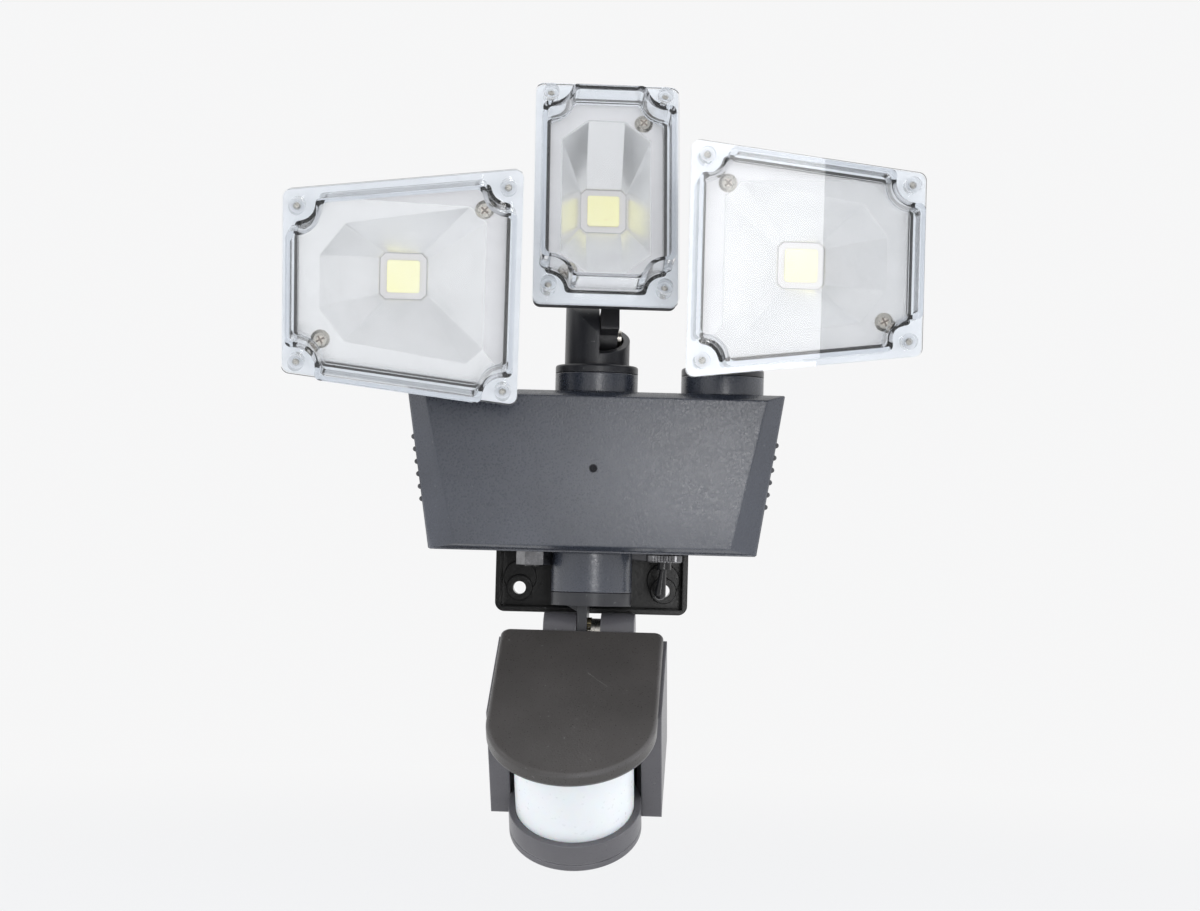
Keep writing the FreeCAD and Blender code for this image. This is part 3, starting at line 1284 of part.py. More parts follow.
def build_sensor_base(place, centre):
    """Round cup under the window, with a lower lip and knob holes."""
    low = "-dim.base_bottom"
    wall = rod("base_wall", "dim.base_radius", (0, "-" + centre, low), "dim.base_bottom - dim.window_bottom")
    space = rod("base_space", "dim.window_radius + dim.joint_gap",
                (0, "-" + centre, low + " + dim.base_wall"),
                "dim.base_bottom")
    groove_low = low + " + dim.base_lip"
    band = rod("groove_band", "dim.base_radius + dim.lap",
               (0, "-" + centre, groove_low), "dim.groove_depth")
    core = rod("groove_core", "dim.base_radius - dim.groove_depth",
               (0, "-" + centre, groove_low + " - dim.lap"), "dim.groove_depth + 2 * dim.lap")
    groove = cut("base_groove", band, core)
    holes = []
    for side in SIDES:
        holes.append(rod("knob_hole_%d" % side, "dim.knob_radius + dim.running_gap",
                         ("%d * dim.knob_spacing / 2" % side, "-" + centre, low + " - dim.lap"),
                         "dim.base_wall + 2 * dim.lap"))
    deliver("sensor_base", cut("sensor_base_cup", wall, space, groove, *holes), place)
    for tag, side in (("time", -1), ("lux", 1)):
        x = "%d * dim.knob_spacing / 2" % side
        stem = rod("knob_stem_" + tag, "dim.knob_radius", (x, "-" + centre, low + " - dim.knob_proud"),
                   "dim.knob_height")
        slot = box("knob_slot_" + tag,
                   (x + " - dim.knob_slot_width / 2", "-%s - 2 * dim.knob_radius" % centre,
                                             low + " - 2 * dim.knob_height"),
                   (x + " + dim.knob_slot_width / 2", "-%s + 2 * dim.knob_radius" % centre,
                    low + " - dim.knob_proud + dim.knob_slot_depth"))
        deliver("sensor_knob_" + tag, cut("knob_cut_" + tag, stem, slot), place)


def build_sensor_inside(place, centre):
    """Board standing in the shell, with the heat detector in front."""
    board_y = "(%s - dim.detector_board_setback)" % centre
    floor = "-dim.base_bottom + dim.base_wall"
    low = "-dim.window_bottom + dim.detector_board_lift"
    board = box("sensor_board_block", ("-dim.detector_board_half", "-%s" % board_y, low),
                ("dim.detector_board_half", "-%s + dim.board_thickness" % board_y,
                 "-dim.detector_board_top"))
    feet = []
    for side in SIDES:
        x = "%d * dim.detector_foot_spacing / 2" % side
        behind = "-%s + dim.board_thickness / 2" % board_y
        feet.append(box("board_foot_%d" % side,
                        (x + " - dim.detector_foot_width / 2", behind + " - dim.detector_foot_width", floor),
                        (x + " + dim.detector_foot_width / 2", behind,
                         floor + " + dim.detector_foot_height")))
    deliver("sensor_board", fuse("sensor_board_solid", board, *feet), place)
    start = (0, "-" + board_y, "-dim.detector_drop")
    can = rod("detector_can", "dim.detector_radius", start, "dim.detector_height", "-Y")
    rim = rod("detector_rim", "dim.detector_rim_radius", start, "dim.detector_rim_height", "-Y")
    deliver("pir_detector", fuse("pir_detector_solid", can, rim), place)


def build_sensor():
    """Collar, swivel and tilting head of the motion sensor."""
    start = (0, "-dim.axis_depth", body_bottom)
    block = rod("sensor_collar_block", "dim.sensor_collar_radius", start, "dim.sensor_collar_height", "-Z")
    bore = rod("sensor_collar_bore", "dim.stem_radius", start, "dim.sensor_collar_height", "-Z")
    deliver("sensor_collar", cut("sensor_collar_ring", block, bore))
    yaw = Rotation(along_z, size("sensor_yaw"))
    tilt = Rotation(along_x, -size("sensor_tilt"))
    top = size("body_lift") - size("body_height") / 2 - size("sensor_collar_height") - size("joint_gap")
    foot = Vector(0, -size("axis_depth"), top)
    pivot = foot - Vector(0, 0, size("sensor_ring_height") + size("sensor_pivot_drop"))
    build_sensor_swivel(Placement(foot, yaw))
    place = Placement(pivot, yaw * tilt)
    build_sensor_pivot(place)
    build_sensor_head(place * Placement(Vector(-size("sensor_shift"), 0, 0), Rotation()))


# ---- charging inlet and toggle switch ---------------------------------------------

def hexagon(x, y, flats):
    """Corners of a hexagon by its width across flats."""
    corners = []
    for step in range(6):
        angle = 60 * step
        corners.append(("%s + %s / 2 / cos(30) * cos(%d)" % (x, flats, angle),
                        "%s + %s / 2 / cos(30) * sin(%d)" % (y, flats, angle)))
    return corners


def build_inlet():
    """Round charging inlet with a centre pin, and its hexagon nut."""
    x = "-dim.inlet_offset"
    y = "-dim.toggle_depth"
    low = body_bottom + " - dim.inlet_nut_height"
    shell = rod("inlet_shell", "dim.inlet_radius - dim.running_gap", (x, y, low + " - dim.inlet_proud"),
                "dim.inlet_nut_height + dim.body_wall + dim.inlet_proud + dim.inlet_tail")
    flange = rod("inlet_flange", "dim.inlet_radius + dim.inlet_flange_lap",
                 (x, y, body_bottom + " + dim.body_wall"), "dim.inlet_flange_height")
    bore = rod("inlet_bore", "dim.inlet_bore", (x, y, low + " - dim.lap"), "dim.inlet_bore_depth + dim.lap")
    pin = rod("inlet_pin", "dim.inlet_pin", (x, y, low), "dim.inlet_bore_depth + 2 * dim.lap")
    socket = cut("inlet_socket", fuse("inlet_form", shell, flange), bore)
    deliver("charge_inlet", fuse("charge_inlet_solid", socket, pin))
    nut = extrude("inlet_nut_block",
                  outline("inlet_nut_outline", "plan", low, hexagon(x, y, "dim.inlet_nut_flats")),
                  "dim.inlet_nut_height")
    hole = rod("inlet_nut_hole", "dim.inlet_radius", (x, y, low + " - dim.lap"),
               "dim.inlet_nut_height + 2 * dim.lap")
    deliver("inlet_nut", cut("inlet_nut_ring", nut, hole))


def build_toggle():
    """Switch body, knurled nut and bat-shaped lever."""
    x = "dim.toggle_offset"
    y = "-dim.toggle_depth"
    low = body_bottom + " - dim.toggle_bush_height"
    bush = rod("toggle_bush", "dim.toggle_bush_radius - dim.running_gap", (x, y, low),
               "dim.toggle_bush_height + dim.body_wall + dim.lap")
    floor = body_bottom + " + dim.body_wall"
    case = box("toggle_case",
               (x + " - dim.toggle_case_width / 2", y + " - dim.toggle_case_depth / 2", floor),
               (x + " + dim.toggle_case_width / 2", y + " + dim.toggle_case_depth / 2",
                floor + " + dim.toggle_case_height"))
    mouth = cone("toggle_mouth", "dim.toggle_mouth_radius", "dim.toggle_throat_radius",
                 (x, y, low + " - dim.lap / 100"), "dim.toggle_mouth_depth")
    deliver("toggle_switch", cut("toggle_switch_solid", fuse("toggle_form", bush, case), mouth))
    nut = rod("toggle_nut_block", "dim.toggle_nut_radius", (x, y, body_bottom + " - dim.toggle_nut_height"),
              "dim.toggle_nut_height")
    hole = rod("toggle_nut_hole", "dim.toggle_bush_radius", (x, y, body_bottom + " - dim.wall_reach"),
               "dim.wall_reach + 2 * dim.lap")
    deliver("toggle_nut", cut("toggle_nut_ring", nut, hole))
    hinge = Vector(size("toggle_offset"), -size("toggle_depth"),
                   size("body_lift") - size("body_height") / 2 - size("toggle_bush_height")
                   + size("toggle_hinge_rise"))
    neck = cone("lever_neck", "dim.toggle_neck_radius", "dim.toggle_waist_radius", (0, 0, 0),
                "dim.toggle_neck_length", "-Z")
    bat = cone("lever_bat", "dim.toggle_waist_radius", "dim.toggle_lever_radius",
               (0, 0, "-dim.toggle_neck_length"),
               "dim.toggle_lever_length - dim.toggle_neck_length", "-Z")
    tip = doc.addObject("Part::Sphere", "lever_tip")
    bind(tip, Radius="dim.toggle_lever_radius")
    locate(tip, z="-dim.toggle_lever_length")
    ball = doc.addObject("Part::Sphere", "lever_ball")
    bind(ball, Radius="dim.toggle_ball_radius")
    lean = Rotation(along_y, size("toggle_lean"))
    deliver("toggle_lever", fuse("toggle_lever_solid", neck, bat, tip, ball), Placement(hinge, lean))


# ---- the whole light -----------------------------------------------------------------

build_tray()
build_post_screws()
build_rear_housing()
build_front_housing()
build_housing_fittings()
build_lamp("left", -1, True, "-dim.head_spacing")
build_lamp("centre", 1, False, "0")
build_lamp("right", 1, True, "dim.head_spacing")
build_sensor()
build_inlet()
build_toggle()
doc.recompute()

faults = []
for item in doc.Objects:
    if "Invalid" in item.State or "Error" in item.State:
        faults.append("%s (%s)" % (item.Name, item.Label))
for label, node in nodes.items():
    if node.Label != label or node.Shape.isNull() or not node.Shape.isValid():
        faults.append("shape of " + label)
if faults:
    raise RuntimeError("not built: " + ", ".join(faults))

os.makedirs("parts", exist_ok=True)
for label, node in nodes.items():
    node.Shape.exportStep(os.path.join("parts", label + ".step"))
print("%d sub-parts written" % len(nodes))
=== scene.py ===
import math

import bmesh
import bpy
from mathutils import Matrix, Vector
from mathutils.geometry import tessellate_polygon


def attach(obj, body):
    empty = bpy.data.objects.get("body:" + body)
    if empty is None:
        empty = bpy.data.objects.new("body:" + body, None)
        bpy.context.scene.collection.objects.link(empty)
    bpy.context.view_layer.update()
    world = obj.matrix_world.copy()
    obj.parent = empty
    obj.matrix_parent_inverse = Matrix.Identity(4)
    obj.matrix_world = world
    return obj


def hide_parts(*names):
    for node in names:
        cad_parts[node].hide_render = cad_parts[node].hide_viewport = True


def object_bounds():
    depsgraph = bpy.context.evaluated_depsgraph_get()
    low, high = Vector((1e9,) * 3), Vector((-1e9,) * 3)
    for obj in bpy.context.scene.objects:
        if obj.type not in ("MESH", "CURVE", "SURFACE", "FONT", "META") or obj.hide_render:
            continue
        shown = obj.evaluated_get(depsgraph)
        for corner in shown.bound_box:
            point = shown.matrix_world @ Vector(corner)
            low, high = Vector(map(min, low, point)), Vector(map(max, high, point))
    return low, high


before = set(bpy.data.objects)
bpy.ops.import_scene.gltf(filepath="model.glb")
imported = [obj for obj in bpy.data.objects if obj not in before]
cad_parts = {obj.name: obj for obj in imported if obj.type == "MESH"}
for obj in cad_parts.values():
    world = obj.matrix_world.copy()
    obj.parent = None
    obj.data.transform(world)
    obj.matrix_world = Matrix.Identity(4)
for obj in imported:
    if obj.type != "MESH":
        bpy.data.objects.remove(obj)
cad_low, cad_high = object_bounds()
scene = bpy.context.scene
MM = 0.001


# --- Camera ---------------------------------------------------------------
# A 72 mm lens about a metre in front of the battery housing, a little below
# its middle, looking up by two degrees. The light hangs slightly askew in
# the photograph, so the camera is rolled by the same angle.
LENS_LENGTH, FILM_WIDTH = 72, 36
CAMERA_PLACE = Vector((2.2, -1045.6, -6.6)) * MM
CAMERA_PITCH = math.radians(1.9)
CAMERA_ROLL = math.radians(1.46)

lens_data = bpy.data.cameras.new("photo_camera")
lens_data.lens = LENS_LENGTH
lens_data.sensor_width = FILM_WIDTH
camera = bpy.data.objects.new("photo_camera", lens_data)
scene.collection.objects.link(camera)
aim = Matrix.Rotation(math.radians(90) + CAMERA_PITCH, 4, "X")
camera.matrix_world = Matrix.Translation(CAMERA_PLACE) @ aim @ Matrix.Rotation(CAMERA_ROLL, 4, "Z")
scene.camera = camera
scene.view_settings.view_transform = "Standard"


# --- Studio ---------------------------------------------------------------
# White tent, darker towards the camera: a pale paper floor below the hanging
# light, a world that shows white behind it, and soft lamps in front, above
# and on both sides. The shade on the floor fades out away from the light.
FLOOR_DROP = 60 * MM
FLOOR_HALF = 3.0
SQUARE = [(-1, -1), (1, -1), (1, 1), (-1, 1)]
SHOWN_WHITE = (0.925, 0.925, 0.928)
TENT_DARK = (0.60, 0.60, 0.61)
TENT_TURN = (-0.95, 0.1)
GLOW_TINT, GLOW_STRENGTH = (0.94, 0.965, 1.0), 0.83
PAPER_WHITE = (0.86, 0.86, 0.86)
PAPER_SHADED = (0.72, 0.72, 0.725)
SHADE_REACH, SHADE_SHARE = (0.15, 0.95), 0.45


def node(tree, kind, place=(0, 0), **values):
    """Add a node, and set its inputs by name or its own properties."""
    made = tree.nodes.new(kind)
    made.location = place
    for name, value in values.items():
        label = name.replace("_", " ")
        sockets = [s for s in made.inputs if s.name.lower() == label]
        if sockets:
            sockets[0].default_value = value
        else:
            setattr(made, name, value)
    return made


def join(tree, source, target):
    """Link two sockets."""
    tree.links.new(source, target)


def fill(tree, socket, given):
    """Feed an input from a socket, a plain colour or a plain number."""
    if isinstance(given, bpy.types.NodeSocket):
        join(tree, given, socket)
    elif socket.type == "RGBA":
        socket.default_value = (*given, 1)
    else:
        socket.default_value = given


def mapped(tree, value, low, high, to_low, to_high, place=(0, 0), ease="LINEAR"):
    """Value brought from low..high to to_low..to_high."""
    made = node(tree, "ShaderNodeMapRange", place, interpolation_type=ease)
    for index, number in enumerate((low, high, to_low, to_high), start=1):
        made.inputs[index].default_value = number
    join(tree, value, made.inputs[0])
    return made.outputs[0]


def mixed(tree, share, first, second, place=(0, 0)):
    """Colour between two colours."""
    made = node(tree, "ShaderNodeMix", place, data_type="RGBA")
    for index, given in ((0, share), (6, first), (7, second)):
        fill(tree, made.inputs[index], given)
    return made.outputs[2]


def reckoned(tree, operation, first, second, place=(0, 0)):
    """Sum, product or maximum of two values."""
    made = node(tree, "ShaderNodeMath", place, operation=operation)
    fill(tree, made.inputs[0], first)
    fill(tree, made.inputs[1], second)
    return made.outputs[0]


def seen_directly(tree):
    """1 for camera, mirror and glass rays, which show the backdrop itself."""
    rays = node(tree, "ShaderNodeLightPath", (-900, 300)).outputs
    bare = reckoned(tree, "MAXIMUM", rays["Is Camera Ray"], rays["Is Glossy Ray"], (-700, 300))
    return reckoned(tree, "MAXIMUM", bare, rays["Is Transmission Ray"], (-500, 300))


world = bpy.data.worlds.new("white_tent")
scene.world = world
world.use_nodes = True
air = world.node_tree
air.nodes.clear()
glow = node(air, "ShaderNodeBackground", (0, 0), color=(*GLOW_TINT, 1), strength=GLOW_STRENGTH)
shown = node(air, "ShaderNodeBackground", (0, -200), strength=1.0)
heading = node(air, "ShaderNodeTexCoord", (-900, -200)).outputs["Generated"]
depth_of = node(air, "ShaderNodeSeparateXYZ", (-700, -200))
join(air, heading, depth_of.inputs[0])
behind = mapped(air, depth_of.outputs[1], *TENT_TURN, 0.0, 1.0, (-500, -200))
# the camera itself never sees the tent's dark side, from wherever it looks
looked_at = node(air, "ShaderNodeLightPath", (-700, -450)).outputs["Is Camera Ray"]
whiter = reckoned(air, "MAXIMUM", behind, looked_at, (-400, -350))
join(air, mixed(air, whiter, TENT_DARK, SHOWN_WHITE, (-250, -200)), shown.inputs[0])
pick = node(air, "ShaderNodeMixShader", (250, 0))
out = node(air, "ShaderNodeOutputWorld", (450, 0))
join(air, seen_directly(air), pick.inputs[0])
join(air, glow.outputs[0], pick.inputs[1])
join(air, shown.outputs[0], pick.inputs[2])
join(air, pick.outputs[0], out.inputs[0])

floor_mesh = bpy.data.meshes.new("floor")
floor_mesh.from_pydata([(x * FLOOR_HALF, y * FLOOR_HALF, 0) for x, y in SQUARE], [], [(0, 1, 2, 3)])
floor = bpy.data.objects.new("floor", floor_mesh)
floor.location.z = cad_low.z - FLOOR_DROP
scene.collection.objects.link(floor)
paper = bpy.data.materials.new("white_paper")
paper.use_nodes = True
sheet = paper.node_tree
sheet.nodes.clear()
matt = node(sheet, "ShaderNodeBsdfDiffuse", (0, 0), color=(*PAPER_WHITE, 1))
lift = node(sheet, "ShaderNodeEmission", (0, -200), color=(*SHOWN_WHITE, 1), strength=1.0)
faint = node(sheet, "ShaderNodeBsdfDiffuse", (0, -400), color=(*PAPER_SHADED, 1))
spot = node(sheet, "ShaderNodeTexCoord", (-800, -500)).outputs["Object"]
reach = node(sheet, "ShaderNodeVectorMath", (-600, -500), operation="LENGTH")
join(sheet, spot, reach.inputs[0])
fade = mapped(sheet, reach.outputs["Value"], *SHADE_REACH, SHADE_SHARE, 0.0, (-400, -500), "SMOOTHSTEP")
bright = node(sheet, "ShaderNodeMixShader", (200, -200))
chosen = node(sheet, "ShaderNodeMixShader", (400, 0))
surface = node(sheet, "ShaderNodeOutputMaterial", (600, 0))
join(sheet, fade, bright.inputs[0])
join(sheet, lift.outputs[0], bright.inputs[1])
join(sheet, faint.outputs[0], bright.inputs[2])
join(sheet, seen_directly(sheet), chosen.inputs[0])
join(sheet, matt.outputs[0], chosen.inputs[1])
join(sheet, bright.outputs[0], chosen.inputs[2])
join(sheet, chosen.outputs[0], surface.inputs[0])
floor_mesh.materials.append(paper)

LAMPS = {
    # name: place and aim in metres, width, height, watts, and if it shows in shiny surfaces
    "front_softbox": ((0.222, -1.72, 0.06), (0.05, 0.0, 0.02), 0.225, 0.8, 3.2, True),
    "low_softbox": ((0.36, -1.72, -0.36), (0.05, 0.0, 0.0), 0.5, 0.5, 3.4, True),
    "top_softbox": ((-0.1, -0.45, 1.35), (0.0, -0.05, 0.05), 1.4, 1.0, 8, False),
    "left_softbox": ((-1.3, -0.6, 0.3), (0.0, -0.05, 0.03), 0.8, 1.2, 8, False),
    "right_softbox": ((1.3, -0.5, 0.35), (0.0, -0.05, 0.03), 0.8, 1.2, 9, False),
}
for name, (place, target, width, height, watts, mirrored) in LAMPS.items():
    lamp_data = bpy.data.lights.new(name, "AREA")
    lamp_data.shape = "RECTANGLE"
    lamp_data.size = width
    lamp_data.size_y = height
    lamp_data.energy = watts
    lamp = bpy.data.objects.new(name, lamp_data)
    scene.collection.objects.link(lamp)
    lamp.visible_glossy = mirrored
    lamp.visible_transmission = False
    lamp.location = place
    lamp.rotation_mode = "QUATERNION"
    lamp.rotation_quaternion = (Vector(target) - Vector(place)).to_track_quat("-Z", "Y")


# --- Battery housing ------------------------------------------------------
# Tapered ABS box on the wall tray, moulded black with a fine spark-eroded
# grain. The slanted front cover is screwed to the rear shell, and rib noses
# of the finger grip stand out on both sides.
def new_group(name, inputs, outputs):
    """Start a shader node group with the named sockets."""
    group = bpy.data.node_groups.new(name, "ShaderNodeTree")
    for label, kind, value in inputs:
        socket = group.interface.new_socket(label, in_out="INPUT", socket_type="NodeSocket" + kind)
        socket.default_value = value
    for label, kind in outputs:
        group.interface.new_socket(label, in_out="OUTPUT", socket_type="NodeSocket" + kind)
    entry = node(group, "NodeGroupInput", (-1200, 0))
    leave = node(group, "NodeGroupOutput", (900, 0))
    return group, entry.outputs, leave.inputs


# grain of a mould: pitted relief, two tones in broad patches, edges lightened for wear and, on some finishes,
# as a painted highlight, and specks of dust
grained, given, result = new_group(
    "moulded_grain",
    [
        ("Dark", "Color", (0.02, 0.02, 0.022, 1)),
        ("Light", "Color", (0.03, 0.03, 0.034, 1)),
        ("Worn", "Color", (0.09, 0.09, 0.095, 1)),
        ("Grain", "Float", 1500.0),
        ("Depth", "Float", 0.35),
        ("Roughness", "Float", 0.5),
        ("Edge", "Float", 0.0006),
    ],
    [("Color", "Color"), ("Roughness", "Float"), ("Normal", "Vector")],
)
DUST_GREY = (0.3, 0.3, 0.3)
GRAIN_HEIGHT = 0.12 * MM
where = node(grained, "ShaderNodeTexCoord", (-1200, -300)).outputs["Object"]
fine = node(grained, "ShaderNodeTexNoise", (-900, -200), detail=3.0, roughness=0.6)
join(grained, where, fine.inputs["Vector"])
join(grained, given["Grain"], fine.inputs["Scale"])
cells = node(grained, "ShaderNodeTexVoronoi", (-900, -450), randomness=1.0)
join(grained, where, cells.inputs["Vector"])
join(grained, given["Grain"], cells.inputs["Scale"])
broad = node(grained, "ShaderNodeTexNoise", (-900, 100), scale=38.0, detail=4.0, roughness=0.55)
join(grained, where, broad.inputs["Vector"])
dust = node(grained, "ShaderNodeTexNoise", (-900, 350), scale=620.0, detail=2.0, roughness=0.4)
join(grained, where, dust.inputs["Vector"])
rounded = node(grained, "ShaderNodeBevel", (-900, -700), samples=4)
join(grained, given["Edge"], rounded.inputs["Radius"])
true_normal = node(grained, "ShaderNodeNewGeometry", (-900, -900)).outputs["True Normal"]
facing = node(grained, "ShaderNodeVectorMath", (-650, -800), operation="DOT_PRODUCT")
join(grained, rounded.outputs[0], facing.inputs[0])
join(grained, true_normal, facing.inputs[1])
edge = mapped(grained, facing.outputs["Value"], 0.995, 0.8, 0.0, 1.0, (-450, -800))
patches = mapped(grained, broad.outputs[0], 0.42, 0.62, 0.25, 0.9, (-450, -600))
# lighter edge colour: wear, and on the hood also a painted highlight along the rim
wear_and_highlight_mask = reckoned(grained, "MULTIPLY", edge, patches, (-250, -700))
tone = mapped(grained, broad.outputs[0], 0.3, 0.72, 0.0, 1.0, (-650, 100))
speck = mapped(grained, dust.outputs[0], 0.735, 0.78, 0.0, 0.3, (-650, 350))
pits = reckoned(grained, "MULTIPLY", cells.outputs["Distance"], 0.8, (-650, -450))
height = reckoned(grained, "ADD", fine.outputs[0], pits, (-400, -350))
plain = mixed(grained, tone, given["Dark"], given["Light"], (-350, 100))
dusty = mixed(grained, speck, plain, DUST_GREY, (-150, 200))
join(grained, mixed(grained, wear_and_highlight_mask, dusty, given["Worn"], (100, 200)), result["Color"])
grit = mapped(grained, height, 0.3, 1.2, -0.08, 0.08, (100, -100))
join(grained, reckoned(grained, "ADD", given["Roughness"], grit, (300, -100)), result["Roughness"])
relief = node(grained, "ShaderNodeBump", (300, -400), distance=GRAIN_HEIGHT)
join(grained, given["Depth"], relief.inputs["Strength"])
join(grained, height, relief.inputs["Height"])
join(grained, rounded.outputs[0], relief.inputs["Normal"])
join(grained, relief.outputs[0], result["Normal"])


def material(name, group, values, **shine):
    """Material of a finish: what varies comes from a group with its values, the
    rest is plain numbers on the shader's own sockets."""
    made = bpy.data.materials.new(name)
    made.use_nodes = True
    tree = made.node_tree
    shader = tree.nodes["Principled BSDF"]
    for label, number in shine.items():
        shader.inputs[label.replace("_", " ")].default_value = number
    effect = node(tree, "ShaderNodeGroup", (-300, 0))
    effect.node_tree = group
    for label, number in values.items():
        effect.inputs[label].default_value = number
    for target, source in (("Base Color", "Color"), ("Roughness", "Roughness"), ("Normal", "Normal")):
        join(tree, effect.outputs[source], shader.inputs[target])
    return made


def finish_node(names, look):
    """Give CAD nodes their material."""
    for name in names:
        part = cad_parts[name]
        part.data.materials.clear()
        part.data.materials.append(look)


def circle(centre, radius, steps=24):
    """Round outline."""
    turns = [2 * math.pi * step / steps for step in range(steps)]
    return [(centre[0] + radius * math.cos(a), centre[1] + radius * math.sin(a)) for a in turns]


def prism(low, high, outer, holes=(), place=None):
    """Mesh of an outline with holes, between two levels. Points are millimetres
    in the x-z plane, and the levels run along -y."""
    loops = [outer, *holes]
    ends = [Vector((x, 0, z)) for loop in loops for x, z in loop]
    caps = tessellate_polygon([[Vector((x, z, 0)) for x, z in loop] for loop in loops])
    mesh = bmesh.new()
    back = [mesh.verts.new(Vector((p.x, -low, p.z)) * MM) for p in ends]
    front = [mesh.verts.new(Vector((p.x, -high, p.z)) * MM) for p in ends]
    for a, b, c in caps:
        mesh.faces.new((back[a], back[b], back[c]))
        mesh.faces.new((front[c], front[b], front[a]))
    first = 0
    for loop in loops:
        for index in range(len(loop)):
            a, b = first + index, first + (index + 1) % len(loop)
            mesh.faces.new((back[a], back[b], front[b], front[a]))
        first += len(loop)
    bmesh.ops.recalc_face_normals(mesh, faces=mesh.faces)
    if place:
        bmesh.ops.transform(mesh, matrix=place, verts=mesh.verts)
    return mesh


def turned(profile, steps, place):
    """Mesh of a profile of (radius, level) in millimetres, spun about the place's z axis."""
    mesh = bmesh.new()
    rings = []
    for radius, level in profile:
        if radius == 0:
            rings.append([mesh.verts.new((0, 0, level * MM))] * steps)
            continue
        ring = [Vector((x, y, level)) * MM for x, y in circle((0, 0), radius, steps)]
        rings.append([mesh.verts.new(point) for point in ring])
    for low, high in zip(rings, rings[1:]):
        for step in range(steps):
            after = (step + 1) % steps
            corners = [low[step], low[after], high[after], high[step]]
            unique = [v for index, v in enumerate(corners) if v not in corners[:index]]
            if len(unique) > 2:
                mesh.faces.new(unique)
    bmesh.ops.recalc_face_normals(mesh, faces=mesh.faces)
    bmesh.ops.transform(mesh, matrix=place, verts=mesh.verts)
    return mesh


def gathered(meshes):
    """One mesh of several, which are used up."""
    whole = bmesh.new()
    held = bpy.data.meshes.new("held")
    for mesh in meshes:
        mesh.to_mesh(held)
        mesh.free()
        whole.from_mesh(held)
    bpy.data.meshes.remove(held)
    return whole


def on_front(x, level, z, home=Matrix()):
    """Place at a level of a front, with the z axis pointing out of it."""
    return home @ Matrix.Translation(Vector((x, -level, z)) * MM) @ Matrix.Rotation(math.radians(90), 4, "X")


def piece(name, mesh, look, body, smooth=True, stands_for=()):
    """Turn a mesh into a shown piece that rides on a body."""
    data = bpy.data.meshes.new(name)
    mesh.to_mesh(data)
    mesh.free()
    data.materials.append(look)
    made = bpy.data.objects.new(name, data)
    scene.collection.objects.link(made)
    if smooth:
        data.shade_smooth()
        data.set_sharp_from_angle(angle=math.radians(35))
    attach(made, body)
    if stands_for:
        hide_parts(*stands_for)
    return made


cover_plastic = material("cover_plastic", grained, {
    "Dark": (0.024, 0.029, 0.043, 1), "Light": (0.034, 0.040, 0.057, 1), "Worn": (0.17, 0.175, 0.20, 1),
    "Grain": 950.0, "Depth": 0.25, "Roughness": 0.27, "Edge": 0.0009}, Specular_IOR_Level=1.0)
shell_plastic = material("shell_plastic", grained, {
    "Dark": (0.060, 0.060, 0.066, 1), "Light": (0.074, 0.074, 0.080, 1), "Worn": (0.15, 0.15, 0.16, 1),
    "Grain": 1500.0, "Depth": 0.45, "Roughness": 0.46, "Edge": 0.0006})
finish_node(["front_housing"], cover_plastic)
finish_node(["rear_housing"], shell_plastic)

# right-hand corners (x, z) of the shell's rim and of the cover's face, and how far each level stands out
RIM_CORNERS = ((77.75, 52.55), (67.35, -13.95))
FACE_CORNERS = ((70.1, 50.05), (56.5, -11.45))
RIM_LEVEL, SHELL_REAR, COVER_FACE = 59.5, 27.0, 66.0
CORNER_ROUND = 2.2
ROUND_STEPS = 5
CORNER_SLACK = 0.05
WELD_GAP = 0.001 * MM
FLAT_ANGLE = math.radians(0.5)


def in_order(mesh):
    """Put a mesh's points, edges and faces in an order that every run gives."""
    for index, vertex in enumerate(sorted(mesh.verts, key=lambda v: tuple(v.co))):
        vertex.index = index
    mesh.verts.sort()
    for elements in (mesh.edges, mesh.faces):
        for index, element in enumerate(sorted(elements, key=lambda e: sorted(v.index for v in e.verts))):
            element.index = index
        elements.sort()


def softened(name, radius, chosen):
    """Copy of a CAD node's mesh, with the chosen long edges rounded. The test
    gets both ends of an edge in millimetres."""
    mesh = bmesh.new()
    mesh.from_mesh(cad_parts[name].data)
    mesh.transform(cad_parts[name].matrix_world)
    bmesh.ops.remove_doubles(mesh, verts=mesh.verts, dist=WELD_GAP)
    bmesh.ops.dissolve_limit(mesh, angle_limit=FLAT_ANGLE, verts=mesh.verts, edges=mesh.edges)
    edges = [e for e in mesh.edges if chosen(*(v.co / MM for v in e.verts))]
    bmesh.ops.bevel(mesh, geom=edges, offset=radius * MM, offset_type="OFFSET", segments=ROUND_STEPS,
                    profile=0.5, affect="EDGES", clamp_overlap=True)
    bmesh.ops.triangulate(mesh, faces=mesh.faces)
    in_order(mesh)
    return mesh


def at_corner(point, corners, level):
    """True at a housing corner on a level, left or right."""
    return abs(point.y + level) < CORNER_SLACK and any(
        abs(abs(point.x) - x) < CORNER_SLACK and abs(point.z - z) < CORNER_SLACK for x, z in corners)


def shell_corner(a, b):
    """The four long corners of the rear shell."""
    return any(at_corner(p, RIM_CORNERS, RIM_LEVEL) and at_corner(q, RIM_CORNERS, SHELL_REAR)
               for p, q in ((a, b), (b, a)))


def cover_corner(a, b):
    """The slanted corners of the cover and the outline of its face."""
    slanted = any(at_corner(p, RIM_CORNERS, RIM_LEVEL) and at_corner(q, FACE_CORNERS, COVER_FACE)
                  for p, q in ((a, b), (b, a)))
    return slanted or (at_corner(a, FACE_CORNERS, COVER_FACE) and at_corner(b, FACE_CORNERS, COVER_FACE))


piece("housing_shell", softened("rear_housing", CORNER_ROUND, shell_corner), shell_plastic,
      "housing", stands_for=("rear_housing",))
piece("housing_cover", softened("front_housing", CORNER_ROUND, cover_corner), cover_plastic,
      "housing", stands_for=("front_housing",))

